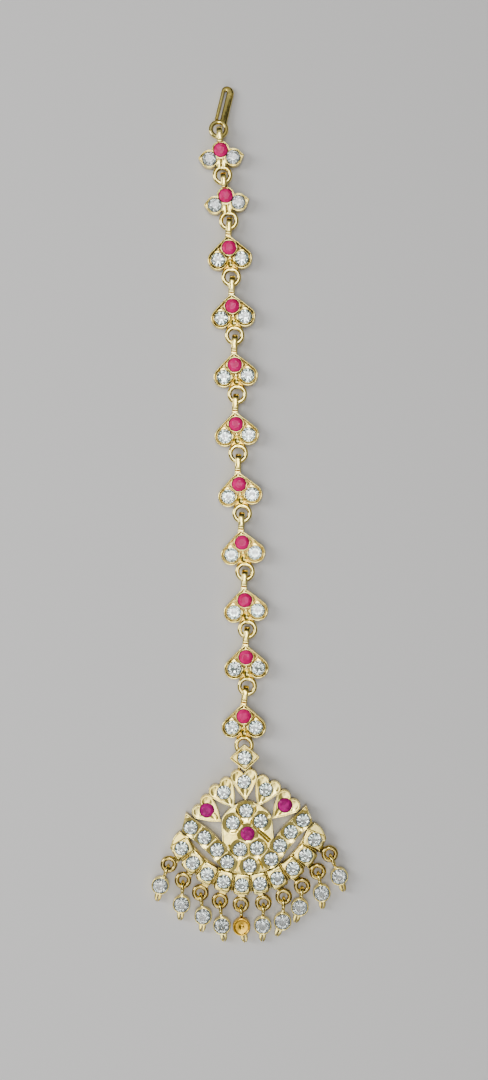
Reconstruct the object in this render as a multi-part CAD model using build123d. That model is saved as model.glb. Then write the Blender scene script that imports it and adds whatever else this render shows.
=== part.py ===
"""Maang tikka: hair hook, two flower links, nine heart links, a diamond link and a fan pendant.

It lies flat with its stones up: hook towards +Y, pendant towards -Y, the floor at z = 0. Every link
has a standing loop that is threaded through the flat ring of the link above it.
"""
from build123d import *
import math
import os

os.makedirs("parts", exist_ok=True)

# Stones: round brilliants, with the proportions as shares of the diameter.
STONE_D = 2.5
DROP_STONE_D = 2.7
TABLE_SHARE = 0.56
STAR_SHARE = 0.78
LOWER_HALF_SHARE = 0.24
CROWN_SHARE = 0.14
GIRDLE_SHARE = 0.035
PAVILION_SHARE = 0.40
MAINS = 8
FIRST_TURN = 7.0
TURN_STEP = 29.0
SEAT_GAP = 0.05
SEAT_TIP_R = 0.06

# How far a cut reaches past what it opens, and how far one part of a solid sinks into the next.
CUT = 3.0
WELD = 0.10

# Heights of the links' trays. The standing loops touch the floor, so the trays are clear of it.
TRAY_BACK = 0.45
TRAY_DECK = 1.78
TRAY_RIM = 2.18
TRAY_GIRDLE = 2.04
RIM_WALL = 0.28
COLLET_WALL = 0.24
COLLET_TOP = 2.14

# Standing loops, made of a flat band bent round, and flat rings level with each other.
LOOP_WIDTH = 1.10
LOOP_WALL = 0.62
LOOP_HEIGHT = 2.74
LOOP_CORNER_R = 1.15
LOOP_EDGE_R = 0.20
RING_LEVEL = 1.61
RING_MEAN_R = 1.40
RING_WALL = 0.80
RING_HEIGHT = 0.76
RING_EDGE_R = 0.26
NECK_WIDTH = 0.84
NECK_BACK = 0.95

# Heart link, from the middle of its ruby. Each stone has a cell of its own, a square on its
# corner, and the cells of the white stones are round where they meet the heart's rim.
HEART_LOBE = (2.15, -2.05)
HEART_LOBE_R = 1.88
HEART_TIP = 2.38
HEART_SHOULDER = 46.0
HEART_NOTCH = -2.02
HEART_WHITE = (2.15, -2.05)
HEART_DECK = 1.45
HEART_CELL_TOP = 2.08
HEART_CELL_HALF = 1.38
HEART_CELL_ROUND_R = 1.48
HEART_RING_Y = -5.28
HEART_LOOP_NEAR = 2.42
HEART_LOOP_FAR = 5.25
HEART_LOOP_LEAN = -9.0
HEART_NECK = {"y": 2.15, "length": 0.95}
HEART_TAB = [(0.25, -1.95), (1.50, -4.60)]
HEART_TAB_BACK = 1.00
HEART_TAB_TOP = 1.62

# Flower link, from the middle of its ruby.
FLOWER_WHITE = (2.15, -1.45)
PETAL_R = 1.64
PETAL_POINT = 2.00
PETAL_POINT_AT = 8.0
LEAF = [(1.15, -2.35), (0.85, -3.30)]
LEAF_START = -1.20
LEAF_BACK = 0.80
LEAF_GROOVE = {"y": -2.6, "length": 1.9, "size": 0.5}
FLOWER_RING_Y = -4.50
FLOWER_LOOP_NEAR = 1.45
FLOWER_LOOP_FAR = 4.02
FLOWER_NECK = {"y": 1.62, "length": 0.60}

# Diamond link, from the middle of its stone.
DIAMOND_HALF_WIDTH = 2.80
DIAMOND_HALF_HEIGHT = 2.46
DIAMOND_CORNER_R = 0.30
DIAMOND_BACK = 2.14
DIAMOND_DECK = 3.10
DIAMOND_RIM = 3.46
DIAMOND_WALL = 0.24
DIAMOND_GIRDLE = 3.34
DIAMOND_COLLET_TOP = 3.40
# Each bail: where it is, the inner radius of its bend, its wire and the height of its bend.
DIAMOND_UPPER_BAIL = {"y": 0.62, "inner_r": 0.72, "wire_r": 0.26, "level": 1.62}
DIAMOND_LOWER_BAIL = {"y": -1.38, "inner_r": 0.62, "wire_r": 0.24, "level": 1.20}
BAIL_SINK = 0.20

# Hook, from the middle of its eye, running towards +Y.
HOOK_SHANK_X = 0.55
HOOK_SHANK_START = 1.30
HOOK_SHANK_WIDTH = 1.30
HOOK_RETURN_WIDTH = 0.66
HOOK_THICKNESS = 0.74
HOOK_REACH = 8.30
HOOK_GAP = 0.36
HOOK_RETURN_END = 1.95

# Pendant, from the middle of its ruby. The crescent and the drop rings share one centre.
PENDANT_DECK = 1.62
PENDANT_RIM = 2.06
PENDANT_GIRDLE = 1.90
PENDANT_COLLET_TOP = 2.00
CRESCENT_Y = 4.20
CRESCENT_R = 13.50
CRESCENT_INNER_R = 11.50
CRESCENT_OUTER_R = 15.30
CRESCENT_STEP = 14.05
CRESCENT_PER_SIDE = 5
CRESCENT_BASE_STEP = 0.45
CELL_WIDTH = 3.16
CELL_CORNER_R = 0.72
LEAF_TIP = (12.15, 1.15)
LEAF_BOW = (13.80, -0.75)
BRIDGE_INNER_R = 10.90
BRIDGE_OUTER_R = 11.80
BRIDGE_SPREAD = 26.0
DROP_RING_R = 17.10
DROP_RING_FIRST = 6.80
DROP_RING_STEP = 12.95
DROP_RING_MEAN_R = 1.12
DROP_RING_WIRE_R = 0.43
DROP_TAB = {"width": 1.3, "length": 1.0, "height": 0.7}
DROP_TAB_STEP = 0.20
TOP_RING_MEAN_R = 1.02
TOP_RING_WIRE_R = 0.30

# Low pads that the pendant's parts are soldered to each other by, on its right half.
PAD_TOP = 1.10
PADS = [
    {"x": 0.00, "y": 6.15, "r": 0.50},
    {"x": 2.15, "y": 8.90, "r": 0.45},
    {"x": 2.30, "y": 5.00, "r": 0.50},
    {"x": 5.55, "y": 6.35, "r": 0.60},
    {"x": 4.60, "y": 2.50, "r": 0.50},
    {"x": 8.30, "y": 2.70, "r": 0.75},
    {"x": 11.95, "y": 1.10, "r": 0.50},
]

# Walls of the pendant's trays, and its outlines on the right half.
CELL_WALL = 0.22
WING_WALL = 0.24
DOME_WALL = 0.26
HEART_WALL = 0.24
HEART_LIFT = 0.10
RIDGE_WIDTH = 0.24
WING_TOP = [(2.70, -3.90), (4.45, -1.55), (6.68, 0.96), (9.12, 3.02), (10.95, 4.42)]
WING_TOP_MIDDLE = (0.0, -4.0)
WING_BOTTOM = [(11.86, 1.20), (11.14, 0.60), (8.86, -1.31), (6.87, -3.53), (5.19, -5.79)]
WING_BOTTOM_MIDDLE = (0.0, -7.30)
WING_RIDGE_HALF = 1.40
WING_LOW_RIDGE = [(1.50, -4.20), (2.55, -6.60)]
DOME_TIP = (0.0, 6.05)
DOME_BOW = (2.60, 4.95)
DOME_SHOULDER = (4.45, 3.10)
DOME_SIDE = [(4.62, 1.50), (4.62, -1.35), (2.80, -4.00), (2.40, -4.40)]
DOME_FOOT = (0.0, -4.40)
DOME_RIDGES = [
    [(0.95, 1.25), (1.75, 5.20)],
    [(1.50, 0.15), (4.40, -0.35)],
    [(1.20, -0.95), (3.30, -2.40)],
]
DOME_LOW_RIDGE = [(0.0, -1.30), (0.0, -4.20)]

# Stones of the pendant's right half, from the middle of its ruby.
WING_STONES = [(10.18, 1.75), (7.82, -0.23), (5.71, -2.58), (3.99, -4.89)]
WING_MIDDLE_STONE = (0.0, -5.84)
DOME_SIDE_STONE = (2.53, 2.10)
DOME_TOP_STONE = (0.0, 4.13)
DOME_LOW_STONE = (1.54, -2.75)

# Hearts round the top of the pendant, lobes outwards.
PENDANT_HEART_LOBE = (1.18, -0.95)
PENDANT_HEART_LOBE_R = 1.25
PENDANT_HEART_TIP = 3.32
PENDANT_HEART_SHOULDER = 22.0
PENDANT_HEART_NOTCH = -1.36
#                  x     y     turn of the lobes from straight up, to the right
PENDANT_HEARTS = [
    {"x": 0.00, "y": 9.40, "turn": 0.0},
    {"x": 3.80, "y": 7.73, "turn": 30.0},
    {"x": -3.80, "y": 7.73, "turn": -30.0},
    {"x": 7.07, "y": 4.74, "turn": 47.5},
    {"x": -7.07, "y": 4.74, "turn": -47.5},
]

# Drops, from the middle of the pendant's ring, hanging towards -Y.
BEZEL_R = 1.60
BEZEL_BACK = 0.12
BEZEL_RIM = 1.82
BEZEL_GIRDLE = 1.74
DROP_LOOP_OFFSET = 1.21
DROP_LOOP_MEAN_R = 0.95
DROP_LOOP_WIRE_R = 0.31
DROP_LOOP_Z = DROP_LOOP_MEAN_R + DROP_LOOP_WIRE_R
DROP_NECK_WIDTH = 0.60
DROP_NECK_HEIGHT = 0.70
DROP_NECK_SINK = 0.25
BUD_BACK = 0.60
BUD_TOP = 1.50
BUD_GROOVE = 0.30
BUD_LENGTH = 1.45
# Half of the bud's outline, from the bezel's edge down to its tip.
BUD_OUTLINE = [(0.0, 0.40), (0.52, 0.30), (0.64, -0.45), (0.52, -0.98), (0.14, -1.45), (0.0, -1.26)]
BEZEL_BACK_RIM = 0.30
BEZEL_BACK_HOLLOW = 0.28
BEZEL_DIMPLE_R = 0.38
BEZEL_DIMPLE_DEPTH = 1.20

# Where each link lies: its ruby or stone, and how far it is turned anticlockwise.
HEART_PLACES = [
    {"x": -2.68, "y": 52.83, "turn": 4.0},
    {"x": -2.11, "y": 42.30, "turn": 4.5},
    {"x": -1.64, "y": 31.66, "turn": 4.5},
    {"x": -1.46, "y": 20.96, "turn": 4.5},
    {"x": -0.89, "y": 10.11, "turn": 6.0},
    {"x": -0.33, "y": -0.42, "turn": 5.5},
    {"x": 0.17, "y": -10.83, "turn": 5.0},
    {"x": 0.36, "y": -21.12, "turn": 2.5},
    {"x": -0.03, "y": -31.78, "turn": 0.5},
]
FLOWER_PLACES = [
    {"x": -4.21, "y": 70.47, "turn": 4.0},
    {"x": -3.30, "y": 62.22, "turn": 7.0},
]
HOOK_PLACE = {"x": -4.60, "y": 74.34, "turn": -13.0, "dip": 7.0, "level": 1.44}
DIAMOND_PLACE = {"x": 0.14, "y": -39.08, "turn": 2.0}
PENDANT_PLACE = {"x": 0.66, "y": -53.02, "turn": 3.7}

# Drops from left to right: swing from straight down to the right, distance from ring to bezel.
DROPS = [
    {"swing": -22.0, "reach": 4.12, "bud": 10.0, "over": False},
    {"swing": -3.5, "reach": 4.35, "bud": -2.0, "over": False},
    {"swing": 7.0, "reach": 4.25, "bud": -12.0, "over": False},
    {"swing": 4.5, "reach": 4.50, "bud": 4.0, "over": False},
    {"swing": 1.5, "reach": 3.90, "bud": -12.0, "over": True},
    {"swing": -1.5, "reach": 4.08, "bud": 0.0, "over": False},
    {"swing": -2.6, "reach": 4.46, "bud": -20.0, "over": False},
    {"swing": -6.5, "reach": 3.85, "bud": -10.0, "over": False},
    {"swing": 10.5, "reach": 3.93, "bud": -8.0, "over": False},
    {"swing": 23.0, "reach": 4.40, "bud": -6.0, "over": False},
]


def polar(radius, degrees, z=0.0):
    """Point at a radius and an angle from +X."""
    angle = math.radians(degrees)
    return (radius * math.cos(angle), radius * math.sin(angle), z)


def lying(place):
    """Location of a piece that lies on the floor."""
    return Pos(place["x"], place["y"], 0) * Rot(0, 0, place["turn"])


def both_sides(point):
    """A point and its mirror image in the YZ plane."""
    return [(point[0], point[1]), (-point[0], point[1])]


# Stones -------------------------------------------------------------------------------------------


def brilliant(diameter):
    """Round brilliant of 57 flat facets and a girdle, with the girdle's middle at z = 0."""
    radius = diameter / 2
    half_girdle = diameter * GIRDLE_SHARE / 2
    crown = diameter * CROWN_SHARE
    pavilion = diameter * PAVILION_SHARE
    table_r = radius * TABLE_SHARE
    step = 360 / MAINS
    squeeze = math.cos(math.radians(step / 2))

    # A star point and a lower-half point lie in the planes of the main facets beside them.
    star_r = radius * STAR_SHARE
    star_z = half_girdle + crown * (radius - star_r * squeeze) / (radius - table_r)
    low_r = radius * LOWER_HALF_SHARE
    low_z = -half_girdle - pavilion * (1 - low_r * squeeze / radius)

    table = [polar(table_r, step * k, half_girdle + crown) for k in range(MAINS)]
    stars = [polar(star_r, step * (k + 0.5), star_z) for k in range(MAINS)]
    lows = [polar(low_r, step * (k + 0.5), low_z) for k in range(MAINS)]
    upper = [polar(radius, step / 2 * k, half_girdle) for k in range(2 * MAINS)]
    lower = [polar(radius, step / 2 * k, -half_girdle) for k in range(2 * MAINS)]
    culet = (0, 0, -half_girdle - pavilion)

    facets = [table]
    for k in range(MAINS):
        ahead = (k + 1) % MAINS
        at, mid, end = 2 * k, 2 * k + 1, (2 * k + 2) % (2 * MAINS)
        facets.append([table[k], stars[k], table[ahead]])
        facets.append([table[k], stars[k - 1], upper[at], stars[k]])
        facets.append([stars[k], upper[at], upper[mid]])
        facets.append([stars[k], upper[mid], upper[end]])
        facets.append([upper[at], lower[at], lower[mid], upper[mid]])
        facets.append([upper[mid], lower[mid], lower[end], upper[end]])
        facets.append([lows[k], lower[at], lower[mid]])
        facets.append([lows[k], lower[mid], lower[end]])
        facets.append([culet, lows[k - 1], lower[at], lows[k]])
    faces = [Face(Wire.make_polygon(points, close=True)) for points in facets]
    return Solid(Shell(faces))


def seat(diameter):
    """What is cut for a stone: a bore above the girdle and a cone below it."""
    bore_r = diameter / 2 + SEAT_GAP
    depth = diameter * (PAVILION_SHARE + GIRDLE_SHARE / 2) + SEAT_GAP
    bore = Cylinder(bore_r, CUT, align=(Align.CENTER, Align.CENTER, Align.MIN))
    cone = Cone(SEAT_TIP_R, bore_r, depth, align=(Align.CENTER, Align.CENTER, Align.MAX))
    return Pos(0, 0, -diameter * GIRDLE_SHARE / 2 - SEAT_GAP) * (bore + cone)


def stones_at(points, girdle, diameter=STONE_D):
    """Stones at a list of points, each turned a little differently."""
    cut = brilliant(diameter)
    turns = [FIRST_TURN + TURN_STEP * k for k in range(len(points))]
    return [Pos(x, y, girdle) * Rot(0, 0, turn) * cut for (x, y), turn in zip(points, turns)]


def cut_seats(metal, points, girdle, diameter=STONE_D):
    """Metal with a seat cut at each point."""
    for x, y in points:
        metal = metal - Pos(x, y, girdle) * seat(diameter)
    return metal


# Metal shapes shared by several pieces ------------------------------------------------------------


def prism(sketch, bottom, top):
    """A flat outline as a solid between two heights."""
    return extrude(Pos(0, 0, bottom) * sketch, top - bottom)


def tray(sketch, back, deck, rim, wall):
    """A solid tray with a thin wall that stands along its outline."""
    edge = sketch - offset(sketch, -wall)
    return prism(sketch, back, deck) + prism(edge, deck, rim)


def collets(points, deck, top, diameter=STONE_D):
    """Round collars that the stones are set in, one at each point."""
    outer = diameter / 2 + SEAT_GAP + COLLET_WALL
    shape = Cylinder(outer, top - deck + WELD, align=(Align.CENTER, Align.CENTER, Align.MAX))
    return [Pos(x, y, top) * shape for x, y in points]


def ridge(ends, side, deck, top):
    """A thin straight wall on a deck, on one side of the Y axis or the other."""
    (start_x, start_y), (end_x, end_y) = ends
    turn = math.degrees(math.atan2(end_y - start_y, side * (end_x - start_x)))
    middle = Pos(side * (start_x + end_x) / 2, (start_y + end_y) / 2, top)
    size = (math.dist(*ends), RIDGE_WIDTH, top - deck + WELD)
    return middle * Rot(0, 0, turn) * Box(*size, align=(Align.CENTER, Align.CENTER, Align.MAX))


def standing_loop(near, far, lean=0.0, pivot_y=0.0):
    """Band in the YZ plane that stands on the floor, leaning about a point on the Y axis.

    Its two upright strands are at near and far.
    """
    length = far - near + LOOP_WALL
    outer = RectangleRounded(length, LOOP_HEIGHT, LOOP_CORNER_R)
    inner = RectangleRounded(
        length - 2 * LOOP_WALL, LOOP_HEIGHT - 2 * LOOP_WALL, LOOP_CORNER_R - LOOP_WALL
    )
    band = extrude(Plane.YZ * (outer - inner), LOOP_WIDTH / 2, both=True)
    band = fillet(band.faces().filter_by(Axis.X).edges(), LOOP_EDGE_R)
    middle_y = (near + far) / 2
    return Pos(0, pivot_y, LOOP_HEIGHT / 2) * Rot(0, 0, lean) * Pos(0, middle_y - pivot_y, 0) * band


def flat_ring(y):
    """Ring that lies flat, halfway up the standing loops."""
    section = RectangleRounded(RING_WALL, RING_HEIGHT, RING_EDGE_R)
    return Pos(0, y, RING_LEVEL) * revolve(Plane.XZ * Pos(RING_MEAN_R, 0) * section, Axis.Z)


def ring_hole(y):
    """What is cut through a tab that a flat ring is soldered to."""
    return Pos(0, y, RING_LEVEL) * Cylinder(RING_MEAN_R - RING_WALL / 2, CUT)


def neck(place, top):
    """Short bar that a standing loop is soldered to a tray by."""
    return prism(Pos(0, place["y"]) * Rectangle(NECK_WIDTH, place["length"]), NECK_BACK, top)


def mirrored_face(half):
    """Face with a given right half, whose first and last points are on the Y axis."""
    return make_face(Polyline(*half, *[(-x, y) for x, y in reversed(half) if x], close=True))


def heart_outline(lobe, lobe_r, tip, shoulder_deg, notch):
    """Heart with its tip on +Y: two round lobes, and flanks and a notch that are tangent to them."""
    shoulder = math.radians(shoulder_deg)
    x = lobe[0] + lobe_r * math.cos(shoulder)
    y = lobe[1] + lobe_r * math.sin(shoulder)
    rise = (-math.sin(shoulder), math.cos(shoulder))
    right = TangentArc((x, y), (0, tip), tangent=rise)
    left = TangentArc((-x, y), (0, tip), tangent=(-rise[0], rise[1]))
    wedge = make_face([right, left, Line((-x, y), (x, y))])
    half = math.acos(min(1.0, lobe_r / math.dist(lobe, (0, notch))))
    start = math.atan2(notch - lobe[1], -lobe[0]) + half
    foot = (lobe[0] + lobe_r * math.cos(start), lobe[1] + lobe_r * math.sin(start))
    below = [lobe, foot, (0, notch), (-foot[0], foot[1]), (-lobe[0], lobe[1])]
    middle = make_face(Polyline((-x, y), (x, y), *below, close=True))
    outline = wedge + middle
    for lobe_x, lobe_y in both_sides(lobe):
        outline = outline + Pos(lobe_x, lobe_y) * Circle(lobe_r)
    return outline


# Chain --------------------------------------------------------------------------------------------

HEART_STONES = [(0.0, 0.0)] + both_sides(HEART_WHITE)
FLOWER_STONES = [(0.0, 0.0)] + both_sides(FLOWER_WHITE)


def white_cell(side):
    """Cell of a white stone: two straight corners towards the ruby and the tip, round elsewhere."""
    corner = HEART_CELL_HALF * math.sqrt(2)
    lean = math.degrees(math.acos(HEART_CELL_ROUND_R / corner))
    top, inner = (0, corner), (-side * corner, 0)
    turns = [90 - lean, -45, 180 + lean]
    first, far, last = [(side * x, y) for x, y, _ in [polar(HEART_CELL_ROUND_R, a) for a in turns]]
    edges = [Line(inner, top), Line(top, first), ThreePointArc(first, far, last), Line(last, inner)]
    return Pos(side * HEART_WHITE[0], HEART_WHITE[1]) * make_face(edges)


def heart_link():
    """Heart tray with three cells, a standing loop at its tip and a flat ring at its notch."""
    outline = heart_outline(HEART_LOBE, HEART_LOBE_R, HEART_TIP, HEART_SHOULDER, HEART_NOTCH)
    metal = tray(outline, TRAY_BACK, HEART_DECK, TRAY_RIM, RIM_WALL)
    square = Rot(0, 0, 45) * Rectangle(2 * HEART_CELL_HALF, 2 * HEART_CELL_HALF)
    for cell in (square, white_cell(1), white_cell(-1)):
        metal = metal + prism(cell, HEART_DECK - WELD, HEART_CELL_TOP)
    metal = metal + collets([(0, 0)], HEART_DECK, COLLET_TOP)
    tab = mirrored_face([(0, HEART_TAB[0][1]), *HEART_TAB, (0, HEART_TAB[1][1])])
    metal = metal + (prism(tab, HEART_TAB_BACK, HEART_TAB_TOP) - ring_hole(HEART_RING_Y))
    metal = metal + flat_ring(HEART_RING_Y) + neck(HEART_NECK, COLLET_TOP)
    metal = metal + standing_loop(HEART_LOOP_NEAR, HEART_LOOP_FAR, HEART_LOOP_LEAN, HEART_TIP)
    return cut_seats(metal, HEART_STONES, TRAY_GIRDLE)


def flower_link():
    """Three petals and a grooved leaf, a standing loop at the top and a flat ring at the bottom."""
    petals = Circle(PETAL_R)
    reach = math.degrees(math.acos(PETAL_R / PETAL_POINT))
    turns = [(PETAL_R, PETAL_POINT_AT + reach), (PETAL_POINT, PETAL_POINT_AT),
             (PETAL_R, PETAL_POINT_AT - reach)]
    for side in (1, -1):
        corners = [(0, 0)] + [(side * x, y) for x, y, _ in [polar(*turn) for turn in turns]]
        petal = Circle(PETAL_R) + make_face(Polyline(*corners, close=True))
        petals = petals + Pos(side * FLOWER_WHITE[0], FLOWER_WHITE[1]) * petal
    metal = tray(petals, TRAY_BACK, TRAY_DECK, TRAY_RIM, RIM_WALL)
    metal = metal + collets(FLOWER_STONES, TRAY_DECK, COLLET_TOP)
    leaf = mirrored_face([(0, LEAF_START), *LEAF, (0, LEAF[1][1])])
    metal = metal + prism(leaf, LEAF_BACK, COLLET_TOP)
    size = LEAF_GROOVE["size"]
    bar = Rot(0, 45, 0) * Box(size, LEAF_GROOVE["length"], size)
    metal = metal - Pos(0, LEAF_GROOVE["y"], COLLET_TOP + size / 4) * bar
    metal = metal + flat_ring(FLOWER_RING_Y) + neck(FLOWER_NECK, TRAY_DECK)
    metal = metal + standing_loop(FLOWER_LOOP_NEAR, FLOWER_LOOP_FAR)
    return cut_seats(metal, FLOWER_STONES, TRAY_GIRDLE)


def bail(facts):
    """U-shaped wire under the diamond link, open towards its back."""
    wire = Rot(0, 90, 0) * Torus(facts["inner_r"] + facts["wire_r"], facts["wire_r"])
    below = Box(CUT, 2 * CUT, 2 * CUT, align=(Align.CENTER, Align.CENTER, Align.MAX))
    here = Pos(0, facts["y"], 0)
    return here * Pos(0, 0, facts["level"]) * wire & here * Pos(0, 0, DIAMOND_BACK + BAIL_SINK) * below


def diamond_link():
    """Rhombic tray raised over the rings that its two bails are threaded through."""
    rhombus = mirrored_face(
        [(0, DIAMOND_HALF_HEIGHT), (DIAMOND_HALF_WIDTH, 0), (0, -DIAMOND_HALF_HEIGHT)]
    )
    rhombus = fillet(rhombus.vertices(), DIAMOND_CORNER_R)
    metal = tray(rhombus, DIAMOND_BACK, DIAMOND_DECK, DIAMOND_RIM, DIAMOND_WALL)
    metal = metal + collets([(0, 0)], DIAMOND_DECK, DIAMOND_COLLET_TOP)
    metal = metal + bail(DIAMOND_UPPER_BAIL) + bail(DIAMOND_LOWER_BAIL)
    return cut_seats(metal, [(0, 0)], DIAMOND_GIRDLE)


def half_disc(x, y, radius):
    """Half of a disc, on the +Y side of its centre."""
    upper = Pos(x, y + radius) * Rectangle(2 * radius, 2 * radius)
    return Pos(x, y) * Circle(radius) & upper


def hook():
    """Flat eye and a wire that runs up, turns tightly and comes back beside itself."""
    half = HOOK_THICKNESS / 2
    width = HOOK_SHANK_WIDTH + HOOK_GAP + HOOK_RETURN_WIDTH
    right = HOOK_SHANK_X + HOOK_SHANK_WIDTH / 2
    gap_x = right - HOOK_SHANK_WIDTH - HOOK_GAP / 2
    return_x = right - width + HOOK_RETURN_WIDTH / 2
    bend_y = HOOK_REACH - width / 2
    shank_length = bend_y - HOOK_SHANK_START
    return_length = bend_y - HOOK_RETURN_END

    outline = Pos(HOOK_SHANK_X, HOOK_SHANK_START + shank_length / 2) * Rectangle(
        HOOK_SHANK_WIDTH, shank_length
    )
    outline = outline + Pos(return_x, HOOK_RETURN_END + return_length / 2) * Rectangle(
        HOOK_RETURN_WIDTH, return_length
    )
    outline = outline + Pos(return_x, HOOK_RETURN_END) * Circle(HOOK_RETURN_WIDTH / 2)
    outline = outline + (half_disc(right - width / 2, bend_y, width / 2)
                         - half_disc(gap_x, bend_y, HOOK_GAP / 2))
    return prism(outline, -half, half) + Pos(0, 0, -RING_LEVEL) * flat_ring(0)


# Pendant ------------------------------------------------------------------------------------------


def crescent_angles(first, step, per_side):
    """Angles from straight down, from left to right."""
    return [side * (first + step * k) for side, k in
            [(-1, k) for k in reversed(range(per_side))] + [(1, k) for k in range(per_side)]]


def fan_point(radius, from_down):
    """Point on a circle about the crescent's centre."""
    x, y, _ = polar(radius, from_down - 90)
    return (x, CRESCENT_Y + y)


CELL_ANGLES = crescent_angles(CRESCENT_STEP / 2, CRESCENT_STEP, CRESCENT_PER_SIDE)
RING_ANGLES = crescent_angles(DROP_RING_FIRST, DROP_RING_STEP, CRESCENT_PER_SIDE)
CRESCENT_STONES = [fan_point(CRESCENT_R, angle) for angle in CELL_ANGLES]
WING_ALL = [p for stone in WING_STONES for p in both_sides(stone)] + [WING_MIDDLE_STONE]
LOTUS_ALL = both_sides(DOME_SIDE_STONE) + [DOME_TOP_STONE] + both_sides(DOME_LOW_STONE)
HEART_CENTRES = [(place["x"], place["y"]) for place in PENDANT_HEARTS]
PENDANT_STONES = CRESCENT_STONES + WING_ALL + LOTUS_ALL + HEART_CENTRES + [(0.0, 0.0)]


def arc_band(inner_r, outer_r, spread):
    """Flat band between two circles about the crescent's centre, to a spread each side."""
    low = [fan_point(outer_r, angle) for angle in (-spread, 0, spread)]
    high = [fan_point(inner_r, angle) for angle in (spread, 0, -spread)]
    arcs = [ThreePointArc(*low), ThreePointArc(*high)]
    return make_face(arcs + [Line(low[2], high[0]), Line(high[2], low[0])])


def crescent():
    """Band of ten rounded square cells that ends in an upturned leaf on each side."""
    spread = CRESCENT_STEP * (CRESCENT_PER_SIDE - 0.3)
    base = arc_band(CRESCENT_INNER_R, CRESCENT_OUTER_R - CRESCENT_BASE_STEP, spread)
    metal = prism(base, 0, PENDANT_DECK - 2 * WELD)
    depth = CRESCENT_OUTER_R - CRESCENT_INNER_R
    square = RectangleRounded(CELL_WIDTH, depth, CELL_CORNER_R)
    cell = tray(square, 0, PENDANT_DECK, PENDANT_RIM, CELL_WALL)
    for angle in CELL_ANGLES:
        x, y = fan_point((CRESCENT_OUTER_R + CRESCENT_INNER_R) / 2, angle)
        metal = metal + Pos(x, y) * Rot(0, 0, angle) * cell
    for side in (1, -1):
        outer = fan_point(CRESCENT_OUTER_R, side * (spread - 1.5))
        inner = fan_point(CRESCENT_INNER_R, side * (spread + 2.5))
        tip, bow = (side * LEAF_TIP[0], LEAF_TIP[1]), (side * LEAF_BOW[0], LEAF_BOW[1])
        leaf = make_face([ThreePointArc(outer, bow, tip), Line(tip, inner), Line(inner, outer)])
        metal = metal + tray(leaf, 0, PENDANT_DECK, PENDANT_RIM, CELL_WALL)
    return metal + prism(arc_band(BRIDGE_INNER_R, BRIDGE_OUTER_R, BRIDGE_SPREAD), 0, PAD_TOP)


def wings():
    """V-shaped band of even width with a thin wall between each two stones."""
    left_end = (-WING_BOTTOM[-1][0], WING_BOTTOM[-1][1])
    bottom = ThreePointArc(WING_BOTTOM[-1], WING_BOTTOM_MIDDLE, left_end)
    side_points = [*WING_TOP, *WING_BOTTOM]
    right_side = Polyline(WING_TOP_MIDDLE, *side_points)
    left_side = Polyline(WING_TOP_MIDDLE, *[(-x, y) for x, y in side_points])
    outline = make_face([right_side, bottom, left_side])
    metal = tray(outline, 0, PENDANT_DECK, PENDANT_RIM, WING_WALL)
    for (first_x, first_y), (second_x, second_y) in zip(WING_STONES, WING_STONES[1:]):
        across = math.atan2(second_y - first_y, second_x - first_x) + math.pi / 2
        reach = (WING_RIDGE_HALF * math.cos(across), WING_RIDGE_HALF * math.sin(across))
        x, y = (first_x + second_x) / 2, (first_y + second_y) / 2
        ends = [(x - reach[0], y - reach[1]), (x + reach[0], y + reach[1])]
        for side in (1, -1):
            metal = metal + ridge(ends, side, PENDANT_DECK, PENDANT_COLLET_TOP)
    for side in (1, -1):
        metal = metal + ridge(WING_LOW_RIDGE, side, PENDANT_DECK, PENDANT_RIM)
    return metal


def dome():
    """Pointed dome with a rim and thin walls between its petals."""
    sides = []
    for side in (1, -1):
        bow, shoulder, *foot = [(side * x, y) for x, y in (DOME_BOW, DOME_SHOULDER, *DOME_SIDE)]
        sides.append(ThreePointArc(DOME_TIP, bow, shoulder))
        sides.append(Polyline(shoulder, *foot, DOME_FOOT))
    metal = tray(make_face(sides), 0, PENDANT_DECK, PENDANT_RIM, DOME_WALL)
    for side in (1, -1):
        for ends in DOME_RIDGES:
            metal = metal + ridge(ends, side, PENDANT_DECK, PENDANT_COLLET_TOP)
    return metal + ridge(DOME_LOW_RIDGE, 1, PENDANT_DECK, PENDANT_COLLET_TOP)


def pendant_frame():
    """All the soldered metal of the pendant, with a seat for every stone."""
    metal = crescent() + wings() + dome()
    outline = heart_outline(
        PENDANT_HEART_LOBE, PENDANT_HEART_LOBE_R, PENDANT_HEART_TIP, PENDANT_HEART_SHOULDER,
        PENDANT_HEART_NOTCH,
    )
    heart = tray(outline, 0, PENDANT_DECK, PENDANT_RIM + HEART_LIFT, HEART_WALL)
    for place in PENDANT_HEARTS:
        metal = metal + Pos(place["x"], place["y"]) * Rot(0, 0, 180 - place["turn"]) * heart
    metal = metal + collets(PENDANT_STONES, PENDANT_DECK, PENDANT_COLLET_TOP)

    ring = Torus(DROP_RING_MEAN_R, DROP_RING_WIRE_R)
    tab = Box(DROP_TAB["width"], DROP_TAB["length"], DROP_TAB["height"])
    tab_r = (CRESCENT_OUTER_R + DROP_RING_R - DROP_RING_MEAN_R) / 2 - DROP_TAB_STEP
    for angle in RING_ANGLES:
        x, y = fan_point(DROP_RING_R, angle)
        metal = metal + Pos(x, y, DROP_LOOP_Z) * ring
        x, y = fan_point(tab_r, angle)
        metal = metal + Pos(x, y, DROP_LOOP_Z) * Rot(0, 0, angle) * tab
    spot = Pos(*TOP_RING_CENTRE, DIAMOND_LOWER_BAIL["level"])
    metal = metal + spot * Torus(TOP_RING_MEAN_R, TOP_RING_WIRE_R)
    for pad in PADS:
        for x, y in both_sides((pad["x"], pad["y"])):
            metal = metal + Pos(x, y, PAD_TOP / 2) * Cylinder(pad["r"], PAD_TOP)
    return cut_seats(metal, PENDANT_STONES, PENDANT_GIRDLE)


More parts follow.
